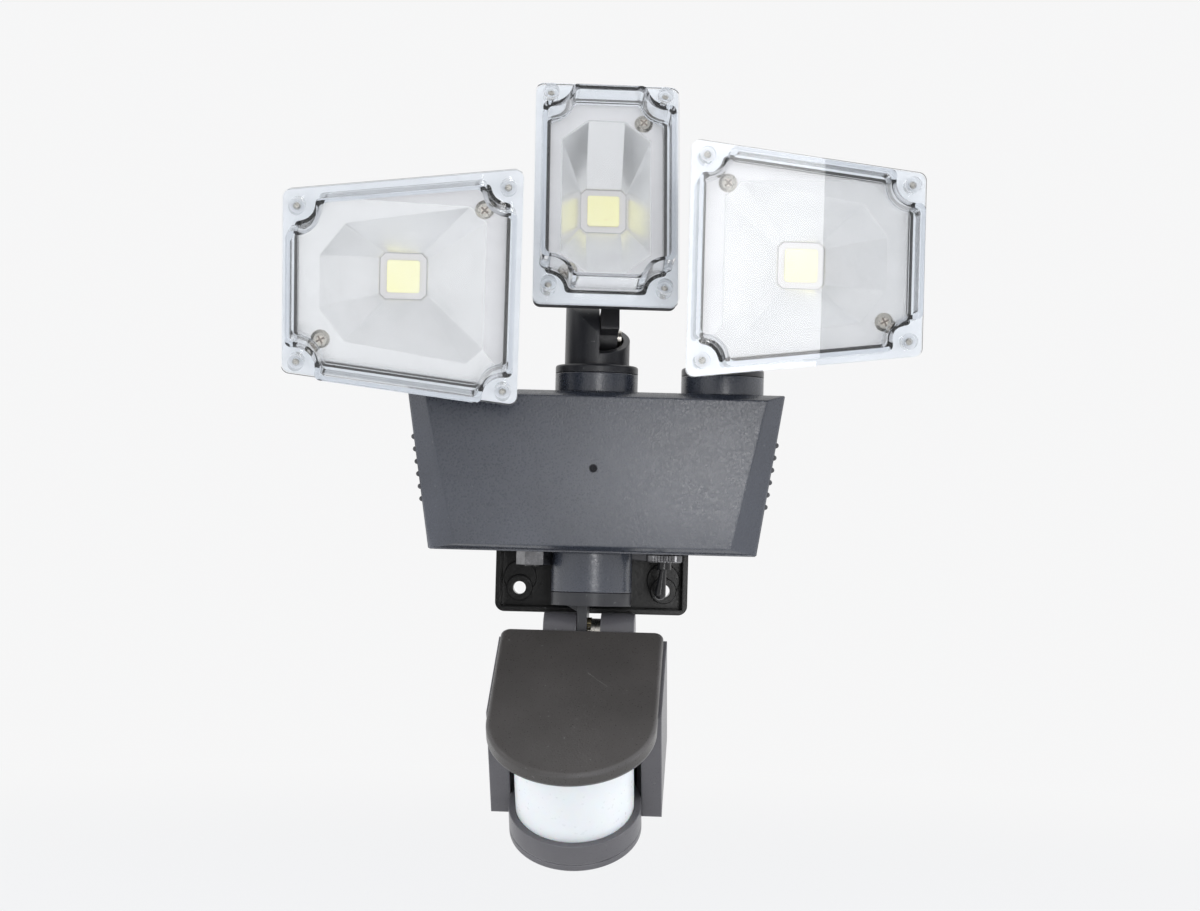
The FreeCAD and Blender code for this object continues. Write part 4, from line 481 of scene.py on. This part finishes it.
# finger grip: rib noses that show past the rim on both sides
GRIP_MIDDLE, GRIP_PITCH, GRIP_RIBS, GRIP_RADIUS = 19.3, 5.1, 6, 1.1
GRIP_REAR, GRIP_FRONT = 46.0, 58.9
for hand, side in ((-1, "left"), (1, "right")):
    noses = []
    for step in range(GRIP_RIBS):
        z = GRIP_MIDDLE + (step - (GRIP_RIBS - 1) / 2) * GRIP_PITCH
        (top_x, top_z), (low_x, low_z) = RIM_CORNERS
        x = low_x + (top_x - low_x) * (z - low_z) / (top_z - low_z)
        noses.append(prism(GRIP_REAR, GRIP_FRONT, circle((hand * x, z), GRIP_RADIUS, 20)))
    piece("grip_noses_" + side, gathered(noses), shell_plastic, "housing")
finish_node(["lamp_collar_left", "lamp_collar_centre", "lamp_collar_right", "sensor_collar"],
            cover_plastic)

# gate mark: ring and stub where the plastic came into the mould
GATE_PLACE = (-0.4, 20.6)
GATE_PROFILE = [(1.75, -0.05), (1.7, 0.12), (1.45, 0.2), (1.2, 0.1), (0.8, 0.03), (0.55, 0.05),
                (0.45, 0.3), (0.2, 0.42), (0, 0.42)]
gate_look = material("gate_mark", grained, {
    "Dark": (0.006, 0.006, 0.008, 1), "Light": (0.010, 0.010, 0.013, 1), "Worn": (0.16, 0.165, 0.19, 1),
    "Grain": 1300.0, "Depth": 0.2, "Roughness": 0.55, "Edge": 0.0002}, Specular_IOR_Level=0.2)
piece("gate_mark", turned(GATE_PROFILE, 40, on_front(GATE_PLACE[0], COVER_FACE, GATE_PLACE[1])),
      gate_look, "housing")

# lower lip of the cover, along the bottom edge of its rim
LIP_REAR, LIP_FRONT = 59.2, 61.4
LIP_OUTLINE = [(-65.2, -13.4), (-64.9, -13.95), (64.9, -13.95),
               (65.2, -13.4), (64.4, -13.05), (-64.4, -13.05)]
piece("cover_lip", prism(LIP_REAR, LIP_FRONT, LIP_OUTLINE), cover_plastic, "housing",
      smooth=False)


# --- Wall tray ------------------------------------------------------------
# Shallow glossy black tray behind the housing, with bosses for the wall
# screws. It comes out of a polished mould, so it has hardly any grain.
tray_plastic = material("tray_plastic", grained, {
    "Dark": (0.003, 0.003, 0.003, 1), "Light": (0.005, 0.005, 0.005, 1), "Worn": (0.03, 0.03, 0.032, 1),
    "Grain": 700.0, "Depth": 0.06, "Roughness": 0.16, "Edge": 0.0007}, Specular_IOR_Level=0.25)
finish_node(["wall_bracket"], tray_plastic)


# --- Knuckles -------------------------------------------------------------
# Swivel cups on the collars, each with the tongue of a lamp clamped in it by
# one cross screw. Satin black nylon, as is the swivel of the sensor.
joint_plastic = material("joint_plastic", grained, {
    "Dark": (0.022, 0.023, 0.027, 1), "Light": (0.030, 0.031, 0.036, 1), "Worn": (0.11, 0.11, 0.12, 1),
    "Grain": 1700.0, "Depth": 0.25, "Roughness": 0.32, "Edge": 0.0007})
HEADS = ("left", "centre", "right")
finish_node(["knuckle_" + side for side in HEADS], joint_plastic)
finish_node(["sensor_swivel"], joint_plastic)


# --- Lamp housings --------------------------------------------------------
# Die-shaped backs of the three lamps in satin black ABS, moulded with the
# tongue that the knuckle clamps. A thin raised rim runs round the front, and
# the corner lugs of the solid end at the tapered wall here.
back_plastic = material("back_plastic", grained, {
    "Dark": (0.020, 0.020, 0.022, 1), "Light": (0.027, 0.027, 0.030, 1), "Worn": (0.08, 0.08, 0.085, 1),
    "Grain": 1400.0, "Depth": 0.4, "Roughness": 0.42, "Edge": 0.0007})
finish_node(["head_housing_" + side for side in HEADS], back_plastic)

# Millimetres from the pivot: reach of the inner and the outer side with their heights, face of the
# cover's flange, and lift of the middle. From the sides: mouth of the reflector, its cut corners at
# the inner and the outer side, and the reflector's two screws.
WIDE_FORM = {
    "reach": (19.0, 75.3), "heights": (95.4, 73.0), "face": 52.0, "lift": 29.7,
    "mouth_inset": (14.6, 14.6), "mouth_cuts": ((6.4, 6.0), (10.0, 13.0)),
    "screw_inset": (15.2, 15.2), "screw_corners": (1, 3)}
NARROW_FORM = {
    "reach": (29.5, 29.5), "heights": (95.0, 95.0), "face": 47.6, "lift": 45.9,
    "mouth_inset": (11.4, 14.8), "mouth_cuts": ((10.8, 8.4), (10.8, 8.4)),
    "screw_inset": (14.4, 15.2), "screw_corners": (0, 2)}
PIVOT_OUT, PIVOT_HEIGHT = 42.0, 76.0
FLANGE_THICKNESS = 2.2
PLATE_SETBACK = 4.0
LUG_INSET = 6.2


class Lamp:
    """Frame and outline of one lamp, in millimetres about its pivot, facing -y."""

    def __init__(self, name, hand, across, tilt, yaw, form):
        self.name = name
        self.body = "head_" + name
        self.hand = hand
        pivot = Vector((across, -PIVOT_OUT, PIVOT_HEIGHT)) * MM
        turn = Matrix.Rotation(math.radians(yaw), 4, "Z") @ Matrix.Rotation(math.radians(-tilt), 4, "X")
        self.place = Matrix.Translation(pivot) @ turn
        self.inner, self.outer = form["reach"]
        self.inner_height, self.outer_height = form["heights"]
        self.lift = form["lift"]
        self.mouth_inset = form["mouth_inset"]
        self.mouth_cuts = form["mouth_cuts"]
        self.screw_inset = form["screw_inset"]
        self.screw_corners = form["screw_corners"]
        self.foot = form["face"] - FLANGE_THICKNESS
        self.plate = form["face"] - PLATE_SETBACK
        self.middle = (hand * (self.outer - self.inner) / 2, self.lift)

    def corners(self, inset, inset_z=None):
        """Inner-low, outer-low, outer-high and inner-high corner."""
        inset_z = inset if inset_z is None else inset_z
        slope = (self.inner_height - self.outer_height) / 2 / (self.inner + self.outer)
        inner, outer = self.hand * (inset - self.inner), self.hand * (self.outer - inset)
        inner_half = self.inner_height / 2 - inset_z - inset * slope
        outer_half = self.outer_height / 2 - inset_z + inset * slope
        return [(inner, self.lift - inner_half), (outer, self.lift - outer_half),
                (outer, self.lift + outer_half), (inner, self.lift + inner_half)]

    def mouth(self, grow):
        """Eight corners of the reflector's mouth."""
        quad = self.corners(self.mouth_inset[0] - grow, self.mouth_inset[1] - grow)
        (ix, iz), (ox, oz) = self.mouth_cuts
        ix, ox = self.hand * ix, self.hand * ox
        (a, b), (c, d), (e, f), (g, h) = quad
        return [(a + ix, b), (c - ox, d), (c, d + oz), (e, f - oz),
                (e - ox, f), (g + ix, h), (g, h - iz), (a, b + iz)]


WALL_SLACK = 0.02


def inside(point, quad):
    """The point, brought back onto any side of the outline that it lies beyond."""
    middle = sum(quad, Vector((0, 0))) / 4
    for index, corner in enumerate(quad):
        way = (quad[(index + 1) % 4] - corner).normalized()
        out = Vector((way.y, -way.x))
        if out.dot(middle - corner) > 0:
            out = -out
        past = (point - corner).dot(out)
        if past > WALL_SLACK:
            point = point - out * past
    return point


def rounded_outline(corners, radius, steps=6):
    """Outline whose corners are rounded."""
    points = []
    for index, corner in enumerate(corners):
        here = Vector(corner)
        before = (Vector(corners[index - 1]) - here).normalized()
        after = (Vector(corners[(index + 1) % len(corners)]) - here).normalized()
        half = before.angle(after) / 2
        centre = here + (before + after).normalized() * (radius / math.sin(half))
        start = here + before * (radius / math.tan(half)) - centre
        end = here + after * (radius / math.tan(half)) - centre
        sweep = start.angle_signed(end)
        for step in range(steps + 1):
            turn = Matrix.Rotation(-sweep * step / steps, 2)
            points.append(tuple(centre + turn @ start))
    return points


LAMP_LIST = [
    # name, hand of the outer side, place across, tilt and yaw in degrees, form
    Lamp("left", -1, -52.7, -16.5, 3.0, WIDE_FORM),
    Lamp("centre", 1, 0.0, 13.5, 3.6, NARROW_FORM),
    Lamp("right", 1, 52.7, -1.5, 1.8, WIDE_FORM),
]
# tapered wall from the waist to the back: levels below the flange, and insets
WAIST_DROP, BACK_DROP = 3.0, 29.0
WAIST_INSET, BACK_INSET = 1.7, 16.0
LEVEL_SLACK = 0.01
LUG_REACH = 4.8
# raised rim: depth, gap to the flange, and inset and corner radius outside and inside
RIM_DROP, RIM_GAP = 5.2, 0.05
RIM_OUTSIDE, RIM_INSIDE = (0.6, 3.0), (2.3, 1.6)
for lamp in LAMP_LIST:
    shell = bmesh.new()
    shell.from_mesh(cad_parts["head_housing_" + lamp.name].data)
    shell.transform(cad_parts["head_housing_" + lamp.name].matrix_world)
    home = lamp.place.inverted()
    waist, rear = lamp.foot - WAIST_DROP, lamp.foot - BACK_DROP
    for vertex in shell.verts:
        here = home @ vertex.co / MM
        level = -here.y
        if not rear - LEVEL_SLACK < level < waist - LEVEL_SLACK:
            continue
        share = (waist - level) / (waist - rear)
        wall = [Vector(c) for c in lamp.corners(WAIST_INSET + (BACK_INSET - WAIST_INSET) * share)]
        spot = Vector((here.x, here.z))
        drawn = inside(spot, wall)
        near_lug = any((Vector(c) - spot).length < LUG_REACH for c in lamp.corners(LUG_INSET))
        if near_lug and drawn != spot:
            vertex.co = lamp.place @ (Vector((drawn.x, -level, drawn.y)) * MM)
    piece("lamp_back_" + lamp.name, shell, back_plastic, lamp.body,
          stands_for=("head_housing_" + lamp.name,))
    outside = rounded_outline(lamp.corners(RIM_OUTSIDE[0]), RIM_OUTSIDE[1])
    hollow = rounded_outline(lamp.corners(RIM_INSIDE[0]), RIM_INSIDE[1])
    piece("lamp_rim_" + lamp.name,
          prism(lamp.foot - RIM_DROP, lamp.foot - RIM_GAP, outside, [hollow], lamp.place),
          back_plastic, lamp.body)


# --- Screws and plates ----------------------------------------------------
# Zinc-plated cross screws, slightly yellow, and pressed aluminium plates.
# Two screws hold each reflector, and four come from behind through the
# lamp's corner lugs into its cover.
brushed, given, result = new_group(
    "turned_metal",
    [("Dark", "Color", (0.5, 0.48, 0.44, 1)), ("Light", "Color", (0.75, 0.72, 0.66, 1)),
     ("Scale", "Float", 900.0), ("Roughness", "Float", 0.3), ("Edge", "Float", 0.0002),
     ("Uneven", "Float", 1.0)],
    [("Color", "Color"), ("Roughness", "Float"), ("Normal", "Vector")],
)
SCRATCH_HEIGHT = 0.05 * MM
where = node(brushed, "ShaderNodeTexCoord", (-1200, -300)).outputs["Object"]
streak = node(brushed, "ShaderNodeTexNoise", (-900, 0), detail=4.0, roughness=0.7)
join(brushed, where, streak.inputs["Vector"])
join(brushed, given["Scale"], streak.inputs["Scale"])
soft_edge = node(brushed, "ShaderNodeBevel", (-900, -500), samples=4)
join(brushed, given["Edge"], soft_edge.inputs["Radius"])
share = mapped(brushed, streak.outputs[0], 0.35, 0.65, 0.0, 1.0, (-600, 0))
join(brushed, mixed(brushed, share, given["Dark"], given["Light"], (-300, 100)), result["Color"])
cloudy = mapped(brushed, streak.outputs[0], 0.3, 0.7, -0.08, 0.1, (-600, -200))
spread = reckoned(brushed, "MULTIPLY", cloudy, given["Uneven"], (-300, -150))
join(brushed, reckoned(brushed, "ADD", given["Roughness"], spread, (0, -100)), result["Roughness"])
scratch = node(brushed, "ShaderNodeBump", (300, -300), distance=SCRATCH_HEIGHT)
join(brushed, reckoned(brushed, "MULTIPLY", given["Uneven"], 0.15, (0, -300)), scratch.inputs["Strength"])
join(brushed, streak.outputs[0], scratch.inputs["Height"])
join(brushed, soft_edge.outputs[0], scratch.inputs["Normal"])
join(brushed, scratch.outputs[0], result["Normal"])

zinc = material("zinc_plate", brushed, {}, Metallic=1.0)
sheet_aluminium = material("sheet_aluminium", brushed, {
    "Dark": (0.62, 0.62, 0.64, 1), "Light": (0.78, 0.78, 0.8, 1), "Roughness": 0.4}, Metallic=1.0)
screw_brass = material("screw_brass", brushed, {
    "Dark": (0.62, 0.56, 0.50, 1), "Light": (0.78, 0.72, 0.65, 1), "Roughness": 0.3, "Scale": 500.0},
    Metallic=0.8)
# dark colour of the cross recesses in the screw heads: painted shade of the recess
recess_painted_shade = material("recess_painted_shade", grained, {
    "Dark": (0.14, 0.11, 0.09, 1), "Light": (0.22, 0.18, 0.15, 1), "Worn": (0.35, 0.31, 0.27, 1),
    "Grain": 2500.0, "Depth": 0.2, "Roughness": 0.5, "Edge": 0.0002})
# reflector screws: domed head, and a cross that is laid in its top at a turn of its own: a dark block whose
# colour is painted shade of the recess
HEAD_PROFILE = [(3.4, 0), (3.4, 0.35), (3.2, 0.7), (2.7, 1.05), (1.9, 1.32), (1.1, 1.47), (0, 1.5)]
CROSS_ARM, CROSS_HALF, CROSS_HEIGHT = 1.85, 0.36, 0.9
CROSS_LEVEL = 1.09
CROSS_BEVEL = 0.12
FIRST_TURN, TURN_STEP = 28, 21
# cover screws from behind: head and shank, in the lugs between two levels below the flange
LUG_REAR, LUG_FRONT = 9.0, 2.6
LUG_RADIUS, LUG_BORE = 3.9, 1.55
REAR_HEAD = [(0, -1.5), (1.4, -1.35), (2.3, -0.9), (2.7, -0.3), (2.7, 0)]
SHANK_RADIUS, SHANK_POINT = 1.45, 0.8
for lamp in LAMP_LIST:
    quad = lamp.corners(*lamp.screw_inset)
    heads, arms = [], []
    for count, index in enumerate(lamp.screw_corners):
        x, z = quad[index]
        seat = on_front(x, lamp.plate, z, lamp.place)
        heads.append(turned(HEAD_PROFILE, 40, seat))
        lean = Matrix.Rotation(math.radians(FIRST_TURN + TURN_STEP * count), 4, "Z")
        size = Matrix.Diagonal((CROSS_ARM * 2 * MM, CROSS_HALF * 2 * MM, CROSS_HEIGHT * MM, 1))
        for turn in (0, 90):
            arm = bmesh.new()
            bmesh.ops.create_cube(arm, size=1)
            bmesh.ops.bevel(arm, geom=arm.edges[:], offset=CROSS_BEVEL, segments=2, profile=0.5,
                            affect="EDGES")
            arm.transform(seat @ Matrix.Translation(Vector((0, 0, CROSS_LEVEL)) * MM) @ lean
                          @ Matrix.Rotation(math.radians(turn), 4, "Z") @ size)
            arms.append(arm)
    piece("plate_screws_" + lamp.name, gathered(heads), screw_brass, lamp.body)
    cad_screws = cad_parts["lens_screws_" + lamp.name]
    home = lamp.place.inverted() @ cad_screws.matrix_world
    tip = max(-(home @ vertex.co).y for vertex in cad_screws.data.vertices) / MM
    length = tip - lamp.foot + LUG_REAR
    shank = [(SHANK_RADIUS, 0.05), (SHANK_RADIUS, length - 1), (SHANK_POINT, length), (0, length)]
    lugs, screws = [], []
    for spot in lamp.corners(LUG_INSET):
        lugs.append(prism(lamp.foot - LUG_REAR, lamp.foot - LUG_FRONT, circle(spot, LUG_RADIUS, 32),
                          [circle(spot, LUG_BORE)], lamp.place))
        seat = on_front(spot[0], lamp.foot - LUG_REAR, spot[1], lamp.place)
        screws.append(turned(REAR_HEAD + shank, 32, seat))
    piece("corner_lugs_" + lamp.name, gathered(lugs), back_plastic, lamp.body)
    piece("cover_screws_" + lamp.name, gathered(screws), zinc, lamp.body,
          stands_for=("lens_screws_" + lamp.name,))
    piece("screw_crosses_" + lamp.name, gathered(arms), recess_painted_shade, lamp.body)
finish_node(["bracket_screws", "housing_screws", "sensor_pivot_screw"], zinc)
for side in HEADS:
    for kind in ("pivot_screw_", "reflector_screws_", "lens_screws_"):
        finish_node([kind + side], zinc)
    finish_node(["heat_plate_" + side], sheet_aluminium)


# --- Reflectors -----------------------------------------------------------
# Vacuum-metallised tray of each lamp: a faceted funnel down to the light
# source, and a flat satin border that two screws hold on the lamp's back.
# Brighter foil shows round it, outside the rubber seal.
mirror_coat = material("mirror_coat", brushed, {
    "Dark": (0.88, 0.88, 0.885, 1), "Light": (0.92, 0.92, 0.925, 1), "Scale": 60.0, "Roughness": 0.25,
    "Edge": 0.0009, "Uneven": 0.15}, Metallic=0.75)
finish_node(["reflector_" + side for side in HEADS], mirror_coat)
satin_coat = material("satin_coat", brushed, {
    "Dark": (0.73, 0.715, 0.72, 1), "Light": (0.79, 0.775, 0.78, 1), "Scale": 50.0, "Roughness": 0.42,
    "Edge": 0.0003, "Uneven": 0.3}, Metallic=0.4)
foil_coat = material("foil_coat", brushed, {
    "Dark": (0.80, 0.815, 0.84, 1), "Light": (0.85, 0.865, 0.89, 1), "Scale": 60.0, "Roughness": 0.4,
    "Edge": 0.0002, "Uneven": 0.2}, Metallic=0.35)
NOTCH_STEPS, NOTCH_SPACING, NOTCH_ROUNDS = 24, 0.5, 14


def notched_outline(lamp, inset, notch):
    """Outline with a round notch about each corner screw and soft shoulders."""
    corners = [Vector(c) for c in lamp.corners(inset)]
    screws = [Vector(c) for c in lamp.corners(LUG_INSET)]
    middle = sum(corners, Vector((0, 0))) / 4
    raw = []
    for index, (corner, screw) in enumerate(zip(corners, screws)):
        ends = []
        for other in (corners[index - 1], corners[(index + 1) % 4]):
            way = (other - corner).normalized()
            along = (screw - corner).dot(way)
            off = (corner + way * along - screw).length
            ends.append(corner + way * (along + math.sqrt(notch ** 2 - off ** 2)) - screw)
        inward = middle - screw
        first, last = (inward.angle_signed(end) for end in ends)
        for step in range(NOTCH_STEPS + 1):
            angle = first + (last - first) * step / NOTCH_STEPS
            raw.append(screw + (Matrix.Rotation(-angle, 2) @ inward).normalized() * notch)
    dense = []
    for index, point in enumerate(raw):
        gap = raw[(index + 1) % len(raw)] - point
        count = max(1, round(gap.length / NOTCH_SPACING))
        dense += [point + gap * step / count for step in range(count)]
    for _ in range(NOTCH_ROUNDS):
        dense = [(dense[i - 1] + dense[i] * 2 + dense[(i + 1) % len(dense)]) / 4 for i in range(len(dense))]
    return [tuple(p) for p in dense]


# films laid just over the solids: border to the mouth and round the cover's bosses, foil to the seal
FILM_LOW, FILM_HIGH = 0.02, 0.06
BORDER_INSET, BORDER_LAP, BOSS_RADIUS = 3.2, 0.35, 3.4
FOIL_INSET, FOIL_ROUND = 0.3, 3.2
SEAL_INSET, SEAL_NOTCH = 4.9, 6.8
for lamp in LAMP_LIST:
    bosses = [circle(c, BOSS_RADIUS) for c in lamp.corners(LUG_INSET)]
    piece("reflector_border_" + lamp.name,
          prism(lamp.plate + FILM_LOW, lamp.plate + FILM_HIGH, lamp.corners(BORDER_INSET),
                [lamp.mouth(BORDER_LAP), *bosses], lamp.place),
          satin_coat, lamp.body, smooth=False)
    foil = rounded_outline(lamp.corners(FOIL_INSET), FOIL_ROUND)
    piece("rim_foil_" + lamp.name,
          prism(lamp.foot + FILM_LOW, lamp.foot + FILM_HIGH, foil,
                [notched_outline(lamp, SEAL_INSET, SEAL_NOTCH)], lamp.place),
          foil_coat, lamp.body, smooth=False)


# --- Light sources --------------------------------------------------------
# Chip-on-board LED at the bottom of each funnel: a yellow phosphor square,
# cast in silicone on a pale aluminium board.
# the unlit phosphor is given a faint emission: a painted glow
phosphor = material("phosphor", grained, {
    "Dark": (0.97, 0.92, 0.50, 1), "Light": (0.98, 0.95, 0.66, 1), "Worn": (0.98, 0.96, 0.78, 1),
    "Grain": 900.0, "Depth": 0.2, "Roughness": 0.3, "Edge": 0.0004},
    Emission_Color=(1.0, 0.95, 0.6, 1), Emission_Strength=0.12)
source_board = material("source_board", grained, {
    "Dark": (0.78, 0.75, 0.74, 1), "Light": (0.84, 0.81, 0.80, 1), "Worn": (0.88, 0.86, 0.85, 1),
    "Grain": 700.0, "Depth": 0.1, "Roughness": 0.35, "Edge": 0.0003})
finish_node(["led_source_" + side for side in HEADS], source_board)
FUNNEL_DEPTH, BOARD_STEP = 17.4, 0.4
EMITTER_HALF, EMITTER_ROUND = 6.6, 1.0
EMITTER_SUNK, EMITTER_RISE = 0.05, 0.66
for lamp in LAMP_LIST:
    x, z = lamp.middle
    square = rounded_outline([(x + i * EMITTER_HALF, z + j * EMITTER_HALF) for i, j in SQUARE], EMITTER_ROUND)
    base = lamp.plate - FUNNEL_DEPTH + BOARD_STEP
    piece("emitter_" + lamp.name, prism(base - EMITTER_SUNK, base + EMITTER_RISE, square, (), lamp.place),
          phosphor, lamp.body)


# --- Lens covers ----------------------------------------------------------
# Clear polycarbonate boxes over the lamps, held by four screws from behind.
# Each sits on a black rubber seal, and so does the cover of the housing.
clear = bpy.data.materials.new("clear_cover")
clear.use_nodes = True
tree = clear.node_tree
glass = tree.nodes["Principled BSDF"]
glass.inputs["Base Color"].default_value = (0.985, 0.99, 0.995, 1)
glass.inputs["Transmission Weight"].default_value = 1.0
glass.inputs["IOR"].default_value = 1.49
glass.inputs["Roughness"].default_value = 0.0
# lamps light the inside straight through the plastic, where shadow and diffuse rays aren't bent
through = node(tree, "ShaderNodeBsdfTransparent", (0, -300), color=(0.95, 0.96, 0.965, 1))
rays = node(tree, "ShaderNodeLightPath", (-300, 400)).outputs
lit = reckoned(tree, "MAXIMUM", rays["Is Shadow Ray"], rays["Is Diffuse Ray"], (-100, 400))
choice = node(tree, "ShaderNodeMixShader", (300, 100))
join(tree, lit, choice.inputs[0])
join(tree, glass.outputs[0], choice.inputs[1])
join(tree, through.outputs[0], choice.inputs[2])
ending = tree.nodes["Material Output"]
join(tree, choice.outputs[0], ending.inputs[0])
tint = node(tree, "ShaderNodeVolumeAbsorption", (300, -300), color=(0.30, 0.36, 0.46, 1), density=17.0)
join(tree, tint.outputs[0], ending.inputs["Volume"])
finish_node(["lens_cover_" + side for side in HEADS], clear)

rubber = material("rubber", grained, {
    "Dark": (0.02, 0.02, 0.02, 1), "Light": (0.028, 0.028, 0.028, 1), "Worn": (0.04, 0.04, 0.04, 1),
    "Grain": 1200.0, "Depth": 0.2, "Roughness": 0.75, "Edge": 0.0003})
finish_node(["lens_seal_" + side for side in HEADS] + ["housing_seal"], rubber)


# --- Sensor head ----------------------------------------------------------
# Hood, shell and cup of the motion sensor, in a slightly brown satin black,
# around a milky detector window. It turns and tilts on the swivel, and the
# toothed nut of the tilt screw shows in the gap.
# the hood's light edge colour is mostly a painted highlight along its rim, partly wear
hood_plastic = material("hood_plastic", grained, {
    "Dark": (0.040, 0.037, 0.035, 1), "Light": (0.052, 0.048, 0.046, 1), "Worn": (0.34, 0.335, 0.36, 1),
    "Grain": 1100.0, "Depth": 0.3, "Roughness": 0.3, "Edge": 0.0014})
sensor_plastic = material("sensor_plastic", grained, {
    "Dark": (0.085, 0.083, 0.092, 1), "Light": (0.105, 0.103, 0.112, 1), "Worn": (0.24, 0.235, 0.255, 1),
    "Grain": 1500.0, "Depth": 0.2, "Roughness": 0.3, "Edge": 0.0009})
finish_node(["sensor_cap"], hood_plastic)
finish_node(["sensor_shell", "sensor_base"], sensor_plastic)
finish_node(["sensor_knob_time", "sensor_knob_lux"], joint_plastic)
milky = material("milky_window", grained, {
    "Dark": (0.73, 0.735, 0.755, 1), "Light": (0.77, 0.775, 0.795, 1), "Worn": (0.80, 0.81, 0.83, 1),
    "Grain": 400.0, "Depth": 0.08, "Roughness": 0.3, "Edge": 0.0005},
    Subsurface_Weight=0.25, Subsurface_Scale=0.004)
finish_node(["sensor_window"], milky)

SENSOR_PIVOT = Vector((0, -42.0, -46.9)) * MM
SENSOR_YAW, SENSOR_LEAN = math.radians(-3.7), math.radians(34.0)
sensor_place = (Matrix.Translation(SENSOR_PIVOT) @ Matrix.Rotation(SENSOR_YAW, 4, "Z")
                @ Matrix.Rotation(SENSOR_LEAN, 4, "X"))

# fine scratch with a bend, just over the hood's top
SCRATCH_BENDS = ((1.9, -39.6), (6.6, -44.6), (10.4, -48.4))
SCRATCH_LEVEL, SCRATCH_HALF, SCRATCH_TAPER = 8.612, 0.07, 0.6
scratch_look = material("scratch_mark", grained, {
    "Dark": (0.16, 0.155, 0.15, 1), "Light": (0.26, 0.255, 0.25, 1), "Worn": (0.3, 0.3, 0.3, 1),
    "Grain": 1500.0, "Depth": 0.1, "Roughness": 0.4, "Edge": 0.0001})
hair = bmesh.new()
for start, end in zip(SCRATCH_BENDS, SCRATCH_BENDS[1:]):
    a, b = Vector((*start, SCRATCH_LEVEL)), Vector((*end, SCRATCH_LEVEL))
    side = (b - a).cross(Vector((0, 0, 1))).normalized() * SCRATCH_HALF
    ring = (a - side, b - side * SCRATCH_TAPER, b + side * SCRATCH_TAPER, a + side)
    hair.faces.new([hair.verts.new(sensor_place @ (point * MM)) for point in ring])
piece("cap_scratch", hair, scratch_look, "sensor_head", smooth=False)


def toothed(centre, tip, root, teeth):
    """Outline with pointed teeth."""
    points = []
    for step in range(2 * teeth):
        radius = tip if step % 2 else root
        angle = math.pi * step / teeth
        points.append((centre[0] + radius * math.cos(angle), centre[1] + radius * math.sin(angle)))
    return points


TEETH, TOOTH_TIP, TOOTH_ROOT = 26, 5.9, 5.45
SWIVEL_NUT_REAR, SWIVEL_NUT_FRONT = -4.4, 0.6
nut_brass = material("nut_brass", brushed, {
    "Dark": (0.10, 0.085, 0.05, 1), "Light": (0.22, 0.19, 0.12, 1), "Roughness": 0.35, "Scale": 700.0},
    Metallic=0.9)
across_pivot = sensor_place @ Matrix.Rotation(math.radians(90), 4, "Z")
star = toothed((0, 0), TOOTH_TIP, TOOTH_ROOT, TEETH)
piece("swivel_nut", prism(SWIVEL_NUT_REAR, SWIVEL_NUT_FRONT, star, (), across_pivot), nut_brass,
      "sensor_head", smooth=False)


# --- Inlet and switch -----------------------------------------------------
# Charging socket and miniature toggle switch in the underside of the
# housing, in glossy black plastic. A hexagon nut holds the socket and a
# knurled nut the switch, both nickel-plated.
gloss_plastic = material("gloss_plastic", grained, {
    "Dark": (0.008, 0.008, 0.009, 1), "Light": (0.012, 0.012, 0.013, 1), "Worn": (0.05, 0.05, 0.05, 1),
    "Grain": 500.0, "Depth": 0.05, "Roughness": 0.12, "Edge": 0.0004})
# the nickel's base colour is kept dark: a painted reflection of the black tray and housing around the nuts
nickel = material("bright_nickel", brushed, {
    "Dark": (0.16, 0.16, 0.165, 1), "Light": (0.26, 0.26, 0.27, 1), "Roughness": 0.12, "Scale": 220.0,
    "Uneven": 0.3}, Metallic=1.0)
finish_node(["charge_inlet", "toggle_switch", "toggle_lever"], gloss_plastic)
finish_node(["inlet_nut", "toggle_nut"], nickel)
KNURLS = 34
NUT_CENTRE = (30, -46)
NUT_TOP, NUT_LOW, NUT_CHAMFER, NUT_BORE = -13.95, -17.35, 0.5, 3.05
# level, and radius at the tips and at the roots of the knurls
NUT_RINGS = ((NUT_TOP, 6.6, 6.4), (NUT_TOP - NUT_CHAMFER, 7.5, 6.95), (NUT_LOW + NUT_CHAMFER, 7.5, 6.95),
             (NUT_LOW, 6.6, 6.4), (NUT_LOW, NUT_BORE, NUT_BORE), (NUT_TOP, NUT_BORE, NUT_BORE))
knurl = bmesh.new()
rings = []
for level, tip, root in NUT_RINGS:
    outline = toothed(NUT_CENTRE, tip, root, KNURLS)
    rings.append([knurl.verts.new(Vector((x, y, level)) * MM) for x, y in outline])
for low, high in zip(rings, rings[1:] + rings[:1]):
    for step in range(2 * KNURLS):
        after = (step + 1) % (2 * KNURLS)
        knurl.faces.new((low[step], low[after], high[after], high[step]))
bmesh.ops.recalc_face_normals(knurl, faces=knurl.faces)
piece("knurled_nut", knurl, nickel, "housing", smooth=False, stands_for=("toggle_nut",))


# --- Inner parts ----------------------------------------------------------
# Green glass-fibre boards, shrink-wrapped cells in a black nylon cradle and
# the detector in its metal can, inside the closed housings.
board_green = material("board_green", grained, {
    "Dark": (0.02, 0.10, 0.045, 1), "Light": (0.03, 0.15, 0.06, 1), "Worn": (0.3, 0.35, 0.25, 1),
    "Grain": 500.0, "Depth": 0.2, "Roughness": 0.35, "Edge": 0.0003})
cell_wrap = material("cell_wrap", grained, {
    "Dark": (0.02, 0.07, 0.25, 1), "Light": (0.03, 0.10, 0.32, 1), "Worn": (0.3, 0.35, 0.5, 1),
    "Grain": 300.0, "Depth": 0.1, "Roughness": 0.3, "Edge": 0.0004})
finish_node(["control_board", "sensor_board"], board_green)
finish_node(["battery_cells"], cell_wrap)
finish_node(["battery_holder"], joint_plastic)
finish_node(["pir_detector"], nickel)
